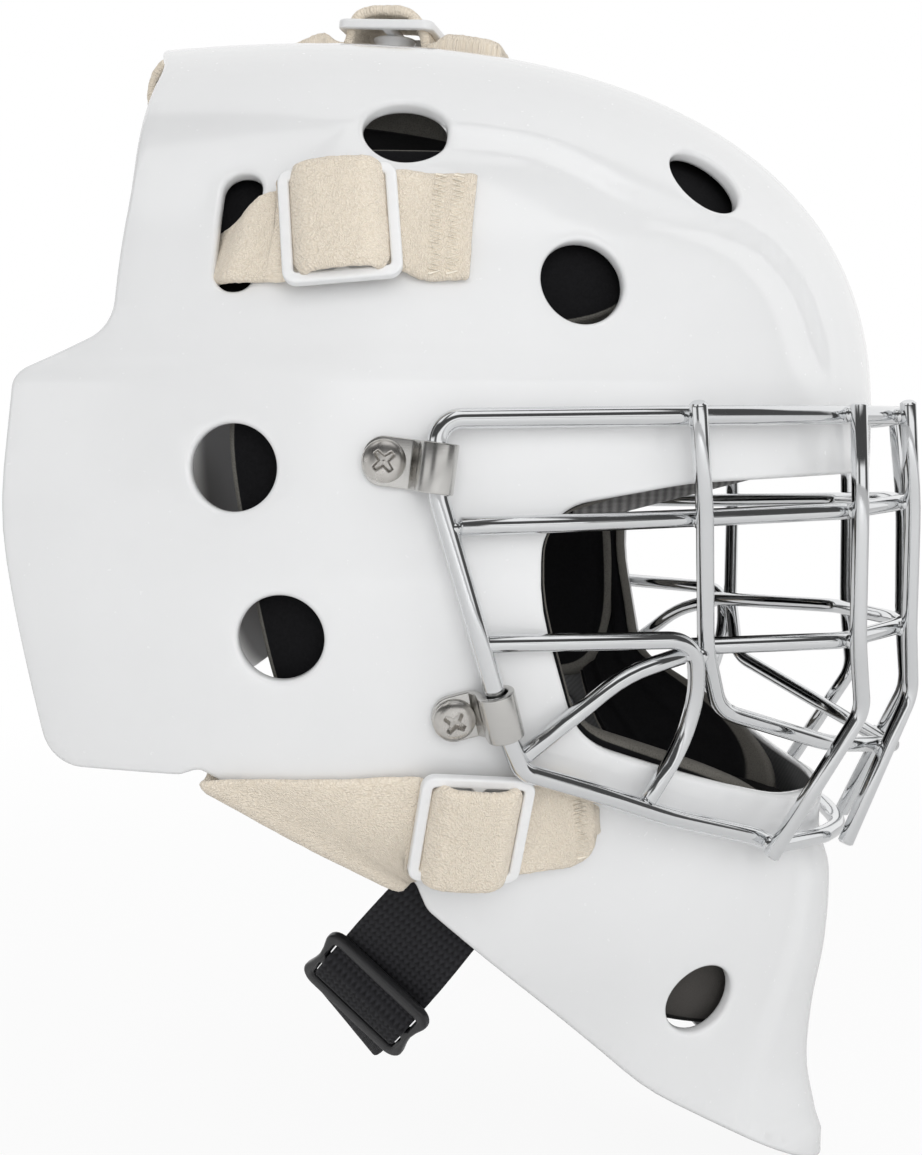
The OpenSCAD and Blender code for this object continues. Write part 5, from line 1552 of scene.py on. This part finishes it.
# Corners of the ear pad: low front, low back, high back, high front
EAR = ((-38, -38), (18, -40), (35, 56), (-33, 44))
port_line = evenly(np.c_[PORT_EDGE, np.zeros(len(PORT_EDGE))], True, 1.0)[:, :2]
port_line = port_line[(port_line[:, 0] > -92) & ((port_line[:, 1] < 0) | (port_line[:, 0] > -60))]
LINING_OVER, LINING_TOP_W, LINING_LOW_W = 2.0, 16, 40


def round_port(u, v, h):
    """Patch of the inside that follows the port's edge, from its upper back round to the chin."""
    u, v = np.atleast_1d(u), np.atleast_1d(v)
    k = (1 + u) / 2 * (len(port_line) - 1)

    def edge_at(k):
        return np.stack([np.interp(k, np.arange(len(port_line)), port_line[:, c]) for c in (0, 1)], -1)

    way = unit(edge_at(k + 5) - edge_at(k - 5))
    wide = LINING_TOP_W + (LINING_LOW_W - LINING_TOP_W) * ease((u + 0.1) / 0.7)
    away = (wide * (1 + v) / 2 - LINING_OVER)[..., None]
    y, z = np.moveaxis(edge_at(k) + np.stack([-way[..., 1], way[..., 0]], -1) * away, -1, 0)
    return side(y, z, -SEAT + 0.9 - h)


BROW_Z, BROW_HALF_T = (35, 59), 46
# Name, patch, thickness, finish, size across in millimetres, points round the rim
pads = [("brow_pad", patch(skin, (-BROW_HALF_T, BROW_HALF_T), BROW_Z), FOAM_T, "liner_foam", 14, 220),
        ("chin_cup", patch(skin, (-47, 47), (-112, -58)), 9, "chin_fabric", 22, 220),
        ("crown_pad_left", patch(crown, (8, 70), (-82, 46)), FOAM_T, "liner_foam", 34, 160),
        ("side_pad_left", patch(skin, (47.5, 92), (60, 104)), FOAM_T, "liner_foam", 22, 160),
        ("ear_pad_left", on_side(EAR), FOAM_T, "liner_foam", 30, 200),
        ("jaw_pad_left", round_port, 7, "jaw_foam", 15, 260)]
foams = {"liner_foam": liner_foam, "chin_fabric": chin_fabric, "jaw_foam": jaw_foam}
pressed = [lambda u, v: v * 0.9 - 0.35 + 0.2 * u, lambda u, v: v * 0.9 + 0.35 + 0.2 * u]
for name, surface, t, slot, size, sides in pads:
    piece = pillow(name + "_cushion", surface, full(t), foams[slot], size=size, groove=0.8, sides=sides,
                   channels=pressed if "jaw" in name else [])
    for p in settle_pair(piece, "mask", slot, name) if "left" in name else [settle(piece, "mask", slot, [name])]:
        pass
print("cushions:", sum(2 if n[0].endswith("left") else 1 for n in pads))

# %% [markdown]
# The sweatband is a folded strip of ribbed knit, sewn along the lower edge of the brow pad. Its ribs run
# up and down and are real ridges in the mesh, so they catch the light at the port's upper edge. Its colour
# is also lighter on the rib crests and darker between them: painted light and shade.

# %% Sweatband
knit = Finish("sweatband_knit", roughness=0.95, specular_ior_level=0.2, sheen_weight=0.1)
at = knit.place()
knit_rows = (knit.mark("rib_z") * 5.2).calc("SINE")
fibre = knit.noise(at, 2600, 2, 0.7)
# Lighter on the rib crests and darker between them: painted light and shade.
knit.set(base_color=knit.mix(knit.mark("rib") * 0.6 + fibre * 0.4, (0.08, 0.08, 0.08), (0.29, 0.285, 0.28)))
knit.bump(knit_rows * 0.35 + fibre * 0.5, 0.25, 0.8)
BAND_TOP_Z, BAND_LOW_Z, BAND_SAG, RIBS, RIB_H = 50, 30, 13, 96, 0.32


def brow_in(t, z):
    """Height of the brow pad at a plan angle and a height, which the band lies on."""
    v = np.clip((2 * z - BROW_Z[0] - BROW_Z[1]) / (BROW_Z[1] - BROW_Z[0]), -1, 1)
    return FOAM_T * crowned(np.clip(t / BROW_HALF_T, -1, 1), v)


def sweatband():
    """A folded strip: each ring goes up its ribbed face, over the top and down its back."""
    u = np.linspace(-1, 1, RIBS * 8)[:, None]
    # Place on the ring as the share across and the side, 1 on the face and -1 on the back
    ring = [(v, 1) for v in np.linspace(-0.94, 0.94, 22)] + [(0.985, 0.6), (1, 0), (0.985, -0.6)]
    ring += [(v, -1) for v in np.linspace(0.94, -0.94, 6)] + [(-0.985, -0.6), (-1, 0), (-0.985, 0.6)]
    v, face = (np.array(c)[None] for c in zip(*ring))
    t = (BROW_HALF_T + 9) * u + 0 * v
    z = (BAND_TOP_Z + BAND_LOW_Z) / 2 + (BAND_TOP_Z - BAND_LOW_Z) / 2 * v - BAND_SAG * u * u * (1 - v) / 2
    thick = BAND_T * (0.4 + 0.6 * crowned(u, v)) * (0.5 + 0.5 * np.sqrt(np.clip((1 - np.abs(u)) * 30, 0, 1)))
    rib = 0.5 + 0.5 * cosd(360 * RIBS * (u + 1) / 2) + 0 * v
    deep = thick * (0.5 + 0.5 * face) + RIB_H * rib * (face > 0) * np.clip((1 - np.abs(u)) * 30, 0, 1)
    p = skin(t, z, -(SEAT + brow_in(t, z) + 1.2 + deep))
    points, faces = loft(p)
    return outwards(new_mesh("sweatband_rib", points, faces, knit.material,
                             marks={"rib": rib.ravel(), "rib_z": (z - BAND_LOW_Z).ravel()}))


settle(sweatband(), "mask", "sweatband_knit", ["sweatband"])
print("ribs of the sweatband:", RIBS)

# %% [markdown]
# The back plate is a curved, moulded plate that hangs on the five straps. The same cushion function makes
# it: thin, hard and with a small rim. Its surface function bends the sides forward, so that it reaches
# round the head, and a shallow raised panel stiffens it between the ends of the straps. Its inner face is
# dark, because it is lined, and its forward sides are dark with painted shade, where they reach into the shell.

# %% Back plate and its pad
plate_plastic = Finish("plate_plastic", coat_weight=0.2, coat_roughness=0.2)
at = plate_plastic.place()
scuff = plate_plastic.noise(at, 90, 4, 0.6)
outside = plate_plastic.mix(scuff, (0.74, 0.745, 0.75), (0.81, 0.815, 0.82))
across = plate_plastic.node("ShaderNodeSeparateXYZ", {}, [at]).calc("ABSOLUTE")
# From this width across, in metres, the plate's forward sides turn dark grey: painted shade where they reach into the
# shell.
SIDE_SHADE_FROM, SIDE_SHADE_FULL = 0.0595, 0.0625
lined_and_shaded = plate_plastic.mark("back").calc("MAXIMUM", across.between(SIDE_SHADE_FROM, SIDE_SHADE_FULL))
plate_plastic.set(base_color=plate_plastic.mix(lined_and_shaded, outside, (0.15, 0.15, 0.155)),
                  roughness=scuff * 0.2 + 0.28)
plate_plastic.bump(plate_plastic.noise(at, 1300, 2), 0.05, 0.5)


WING_OUT, WING_FORE, WING_LOW, PANEL_H = 11, 31, 24, 1.1


def winged(u, v, h):
    """The plate's face, with sides that reach forward round the head inside the shell."""
    w, low = np.clip((np.abs(u) - 0.82) / 0.18, 0, 1), ease((np.abs(u) - 0.4) / 0.6)
    reach = np.stack([np.sign(u) * WING_OUT * w, -WING_FORE * w ** 1.4 - PLATE_T + h,
                      -WING_LOW * low * np.clip(-v, 0, 1) ** 1.5], -1)
    return plate_point(u, v) + reach


def panelled(u, v):
    """Thickness of the plate, with a raised panel between the ends of the straps."""
    return PLATE_T + PANEL_H * ease((1 - (np.abs(u / 0.5) ** 4 + np.abs(v / 0.52) ** 4) ** 0.25) / 0.13)


plate_piece = pillow("back_plate_moulding", winged, panelled, plate_plastic, corner=7, rim=1.2, size=52, sides=200,
                     rings=44)
settle(plate_piece, "back_plate", "plate_plastic", ["back_plate"])
PAD_INSET, PAD_BACK, PAD_T = 0.9, PLATE_T + 2 * INSIDE, 9


def on_plate(u, v, h):
    """Patch of the plate's inner face."""
    return plate_point(u * PAD_INSET, v * PAD_INSET) - np.stack([0 * h, PAD_BACK + h, 0 * h], -1)


pad_piece = pillow("back_plate_cushion", on_plate, full(PAD_T), liner_foam, corner=6, size=48, groove=0.9, sides=200,
                   rings=40)
settle(pad_piece, "back_plate", "liner_foam", ["back_plate_pad"])
print("back plate:", [round(v * 1000) for v in plate_piece.dimensions], "mm")

# %% [markdown]
# ## Chin strap
# The chin strap is a loop of flat black webbing that hangs from two snaps and is set with a three-bar
# slider. The webbing is a band like the elastic straps, but thin and tightly woven: its weave is a
# pattern of raised yarns from two sine waves, one across it and one along it.

# %% Webbing
webbing = Finish("webbing", roughness=0.8, specular_ior_level=0.2, sheen_weight=0.03)
along, across = webbing.run()
warp = (across * 4.1).calc("SINE")
weft = (along * 3.3 + warp * 1.2).calc("SINE")
fuzz = webbing.noise(webbing.vector(along, across), 3.0, 3, 0.7)
weave = warp * 0.3 + weft * 0.3 + 0.5
# Darker in the low parts of the weave and lighter on its raised yarns: painted shade and light.
webbing.set(base_color=webbing.mix(weave * 0.7 + fuzz * 0.3, (0.006, 0.006, 0.007), (0.030, 0.030, 0.034)))
webbing.bump(weave + fuzz * 0.3, 0.22, 0.9)
# Width and thickness, how far the loop hangs, its straight strands, its slant, and the slider's angle on it
WEB_W, WEB_T, WEB_DROP, STRAND, WEB_LEAN, SLIDER_A = 25, 1.6, 72, 10, 24, 147
ANCHOR = side(-20.5, -62, -SEAT - WEB_T / 2) - [1.5, 0, 0]
HANG, FORE = unit([0, 0.64, -0.77]), unit([0, -0.77, -0.64])


def web_at(a, over=0.0):
    """Middle, run, width direction and inward normal of the loop at an angle, from left to right."""
    reach = WEB_DROP - STRAND
    if over:
        run, down = HANG * (1 if a <= 90 else -1), STRAND - over
    else:
        run, down = unit(np.array([-ANCHOR[0] * sind(a), 0, 0]) + HANG * reach * cosd(a)), STRAND + reach * sind(a)
    lean = WEB_LEAN * abs(cosd(a)) - (WEB_LEAN * sind(2 * a - 180) if a > 90 else 0)
    n = np.cross(run, FORE)
    wide = FORE * cosd(lean) + n * sind(lean)
    return np.array([ANCHOR[0] * cosd(a), ANCHOR[1], ANCHOR[2]]) + HANG * down, run, wide, np.cross(run, wide)


def web_station(k):
    """Station of the webbing, whose base is the outer face of the loop."""
    middle, _, wide, inward = k
    return free(middle - inward * WEB_T / 2, wide, inward, WEB_W / 2)


TAIL = STRAND + 7
loop_angles = list(np.arange(8, 174, 6.0))
stations = [web_station(web_at(0.0, TAIL)), web_station(web_at(0.0, 4))]
stations += [web_station(web_at(a)) for a in loop_angles]
stations += [web_station(web_at(180.0, 4)), web_station(web_at(180.0, TAIL))]
strap = roughen(band("chin_strap_webbing", stations, WEB_T, webbing, 1.0, 16), 0.03, 0.9, 3)
settle(strap, "chin_strap", "webbing", ["chin_strap", "chin_strap_bight"])
middles = np.array([row[1] for row in stations])
print("webbing length:", round(float(np.linalg.norm(np.diff(middles, axis=0), axis=1).sum())), "mm")

# %% [markdown]
# The slider is moulded in gloss black, with waisted sides. The webbing goes up through one window and
# down through the other, over its middle bar. That short bight moves with the slider, so it is a piece
# of its own, and the straight webbing passes underneath.

# %% Slider and bight
slider_plastic = Finish("slider_plastic", specular_ior_level=0.3, coat_weight=0.35, coat_roughness=0.12)
at = slider_plastic.place()
scratch = slider_plastic.noise(at, 900, 3, 0.7)
slider_plastic.set(base_color=slider_plastic.mix(scratch, (0.008, 0.008, 0.009), (0.02, 0.02, 0.022)),
                   roughness=scratch * 0.2 + 0.22)
slider_plastic.bump(scratch, 0.05, 0.4)
SLIDER_T, SLIDER_L, SLIDER_BAR, SIDE_BAR, WAIST = 2.2, 24, 3, 3.6, 0.86
k = web_at(SLIDER_A)
half_w = WEB_W / 2 + CLEAR + SIDE_BAR
window = (SLIDER_L - 3 * SLIDER_BAR - 1) / 2
waist = [(SLIDER_L / 2, half_w, 4), (0, WAIST * half_w, 20), (-SLIDER_L / 2, half_w, 4), (-SLIDER_L / 2, -half_w, 4),
         (0, -WAIST * half_w, 20), (SLIDER_L / 2, -half_w, 4)]
holes = [box_corners(window / 2, WEB_W / 2 + CLEAR, 1, s * (SLIDER_BAR + window) / 2) for s in (-1, 1)]
axes = (k[1], -k[2], -k[3])
slider = plate_with_windows("chin_slider_moulding", waist, holes, SLIDER_T, 0.7, slider_plastic,
                            placing(k[0] + axes[2] * (WEB_T / 2 + INSIDE), axes))
settle(slider, "chin_slider", "slider_plastic", ["chin_slider"])
over = WEB_T / 2 + INSIDE + SLIDER_T + 0.2
bight = []
for a, h in ((-8.6, WEB_T / 2 + 0.1), (-6.2, WEB_T / 2 + 0.9), (-3.6, over), (0, over + 0.3), (3.6, over),
             (6.2, WEB_T / 2 + 0.9), (8.6, WEB_T / 2 + 0.1)):
    bight.append(free(k[0] + axes[0] * a + axes[2] * h, k[2], axes[2], WEB_W / 2))
bight = band("chin_slider_bight", bight, WEB_T, webbing, 0.8, 16)
settle(bight, "chin_slider", "webbing")
print("slider:", [round(v * 1000, 1) for v in slider.dimensions], "mm, bight of", len(bight.data.vertices), "points")

# %% [markdown]
# ## Fixings kept from the CAD model
# Studs, rivets, snaps, nuts and the hook-and-loop discs have the right shape already. They keep their CAD
# meshes and only get better finishes: a node is given one by its object's material slot.


# %% Finishes of the kept nodes
def plain(name, a, b, scale, rough, metallic=0.0, depth=0.03):
    """A grainy finish between two colours."""
    made = Finish(name, metallic=metallic)
    at = made.place()
    grain = made.noise(at, scale, 3, 0.6)
    made.set(base_color=made.mix(grain, a, b), roughness=grain * 0.18 + rough)
    made.bump(grain, depth, 0.5)
    return made


kept = {
    "cage_t_nuts": plain("nut_steel", (0.42, 0.42, 0.41), (0.60, 0.59, 0.57), 600, 0.3, 1.0),
    "strap_rivets": plain("rivet_steel", (0.55, 0.54, 0.52), (0.70, 0.69, 0.66), 500, 0.22, 1.0),
    "chin_strap_snaps": plain("snap_steel", (0.10, 0.10, 0.10), (0.2, 0.2, 0.2), 500, 0.3, 1.0),
    "buckle_studs": plain("stud_plastic", (0.55, 0.56, 0.58), (0.66, 0.67, 0.69), 700, 0.25),
    "pad_fasteners": plain("hook_and_loop", (0.005, 0.005, 0.005), (0.03, 0.03, 0.03), 2600, 0.8, depth=0.3),
}
for name, finish in kept.items():
    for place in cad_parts[name].material_slots:
        place.material = finish.material
print("kept nodes:", sorted(kept))

# %% [markdown]
# ## Stage, light and camera
# The photograph has a white ground and soft, even light. The world lights the object evenly, and three
# large, weak lamps give it a little shape. The floor and the world are white for the camera, so the ground
# is white without more light on the mask. Chrome shows what is around it, so for mirrors the world has
# darker panels on its walls and a dark band above the camera, as a studio has between its lamps.

# %% World and floor
FLOOR_Z = -152
world = bpy.data.worlds.new("studio")
bpy.context.scene.world = world
world.use_nodes = True
world_tree = world.node_tree
world_tree.nodes.clear()


def world_node(kind, settings=None, values=None, links=None):
    return link(world_tree, kind, links or {}, settings, values)


def grey_ramp(share, stops):
    """A ramp of greys, from pairs of a place between 0 and 1 and a brightness."""
    made = world_node("ShaderNodeValToRGB", links={0: share})
    for _ in stops[2:]:
        made.color_ramp.elements.new(0.5)
    for stop, (position, bright) in zip(made.color_ramp.elements, stops):
        stop.position, stop.color = position, (bright, bright, bright, 1)
    return made


path = world_node("ShaderNodeLightPath")
look = world_node("ShaderNodeTexCoord")
# Direction of the photograph's viewpoint, turned to 0 degrees, and the greys of the room
VIEW_TURN, ROOM_GREY, BAND_GREY = -190.6, 0.62, 0.07
camera_turn = Matrix.Rotation(math.radians(VIEW_TURN), 3, "Z").to_euler()
facing = world_node("ShaderNodeMapping", {"vector_type": "POINT"}, {"Rotation": camera_turn},
                    {"Vector": look.outputs["Generated"]})
xyz = world_node("ShaderNodeSeparateXYZ", links={0: facing.outputs[0]})
# Angle round the object, 0 at the photograph's viewpoint and growing to its right
angle = world_node("ShaderNodeMath", {"operation": "ARCTAN2"}, links={0: xyz.outputs[1], 1: xyz.outputs[0]})
share_round = world_node("ShaderNodeMapRange", values={"From Min": -math.pi, "From Max": math.pi},
                         links={"Value": angle.outputs[0]})
ROOM = [(-180, 0.95), (-128, 0.95), (-118, 0.08), (-84, 0.08), (-74, 0.95), (-40, 0.9), (-32, 0.12), (-14, 0.12),
        (-6, 1.0), (52, 1.0), (62, 0.08), (96, 0.08), (106, 0.95), (180, 0.95)]
panels = grey_ramp(share_round.outputs[0], [((degrees + 180) / 360, bright) for degrees, bright in ROOM])
# Height as the sine of the angle above the horizon: dark from 0.2 to 0.7, then the bright ceiling
levels = grey_ramp(xyz.outputs[2], [(0.16, 0), (0.24, 1), (0.66, 1), (0.76, 0)])
ahead = world_node("ShaderNodeMapRange", {"interpolation_type": "SMOOTHSTEP"}, {"From Min": -0.1, "From Max": 0.4},
                   {"Value": xyz.outputs[0]})
shade = world_node("ShaderNodeMath", {"operation": "MULTIPLY"}, links={0: levels.outputs[0], 1: ahead.outputs[0]})
lit = world_node("ShaderNodeMix", {"data_type": "RGBA"}, {7: (BAND_GREY,) * 3 + (1,)},
                 {0: shade.outputs[0], 6: panels.outputs[0]})
cast = world_node("ShaderNodeMix", {"data_type": "RGBA"}, {6: (ROOM_GREY,) * 3 + (1,)},
                  {0: path.outputs["Is Glossy Ray"], 7: lit.outputs[2]})
seen = world_node("ShaderNodeMath", {"operation": "MAXIMUM"},
                  links={0: path.outputs["Is Camera Ray"], 1: path.outputs["Is Transmission Ray"]})
final = world_node("ShaderNodeMix", {"data_type": "RGBA"}, {7: (1, 1, 1, 1)},
                   {0: seen.outputs[0], 6: cast.outputs[2]})
ground = world_node("ShaderNodeBackground", links={"Color": final.outputs[2]})
world_node("ShaderNodeOutputWorld", links={0: ground.outputs[0]})

floor_finish = Finish("stage_floor", roughness=0.9, base_color=(0.86, 0.86, 0.86))
# Far from the mask the camera sees pure white, and near it a share of the floor itself, with the shadow
far_away = floor_finish.node("ShaderNodeVectorMath", {"operation": "LENGTH"}, [floor_finish.place()], "Value")
share = floor_finish.node("ShaderNodeLightPath", {}, {}, "Is Camera Ray") * (far_away.between(0.2, 0.9) * 0.09 + 0.91)
glow = floor_finish.node("ShaderNodeEmission", {}, {}, "Emission")
painted = Value(floor_finish, floor_finish.shader.outputs[0])
both_looks = floor_finish.node("ShaderNodeMixShader", {}, {0: share, 1: painted, 2: glow}, "Shader")
floor_finish.tree.links.new(both_looks.socket, floor_finish.tree.nodes["Material Output"].inputs[0])
FLOOR_R = 6000
ring = [(FLOOR_R * cosd(a), FLOOR_R * sind(a), FLOOR_Z) for a in range(0, 360, 10)]
floor = new_mesh("floor", ring, [list(range(len(ring)))], floor_finish.material)
print("world:", len(world_tree.nodes), "nodes, floor at", FLOOR_Z, "mm")

# %% [markdown]
# The lamps stand about a metre off and are turned to the middle of the mask. Mirrors don't see them,
# because the world's panels already give the chrome its picture. The camera stands where the photograph
# was taken from, a place that was worked out from the outline and the mirror symmetry.

# %% Lamps and camera
TARGET, EYE = np.array([0.0, -10.0, 0.0]), np.array([-470.7, -88.2, 32.8])
# Name, place, size in millimetres and power in watts
LAMPS = [("key", (-1150, -350, 420), 900, 5.7), ("front", (-300, -1150, 350), 800, 2.0),
         ("back", (600, 900, 600), 900, 1.8)]


def aim(piece, where, way):
    """Puts a lamp or a camera at a place and turns it to look along a direction."""
    piece.location = np.array(where) * MM
    piece.rotation_mode = "QUATERNION"
    piece.rotation_quaternion = Vector(way).to_track_quat("-Z", "Y")
    return piece


for name, where, size, power in LAMPS:
    lamp = bpy.data.lights.new(name, "AREA")
    lamp.size, lamp.energy = size * MM, power
    aim(shown(name, lamp), where, unit(TARGET - np.array(where, float))).visible_glossy = False
camera = bpy.data.cameras.new("camera")
camera.sensor_fit, camera.sensor_width, camera.lens = "HORIZONTAL", 36, 70.28
bpy.context.scene.camera = aim(shown("camera", camera), EYE, -EYE)
bpy.context.scene.view_settings.view_transform = "Standard"
print("camera", np.round(EYE), "lens", camera.lens)
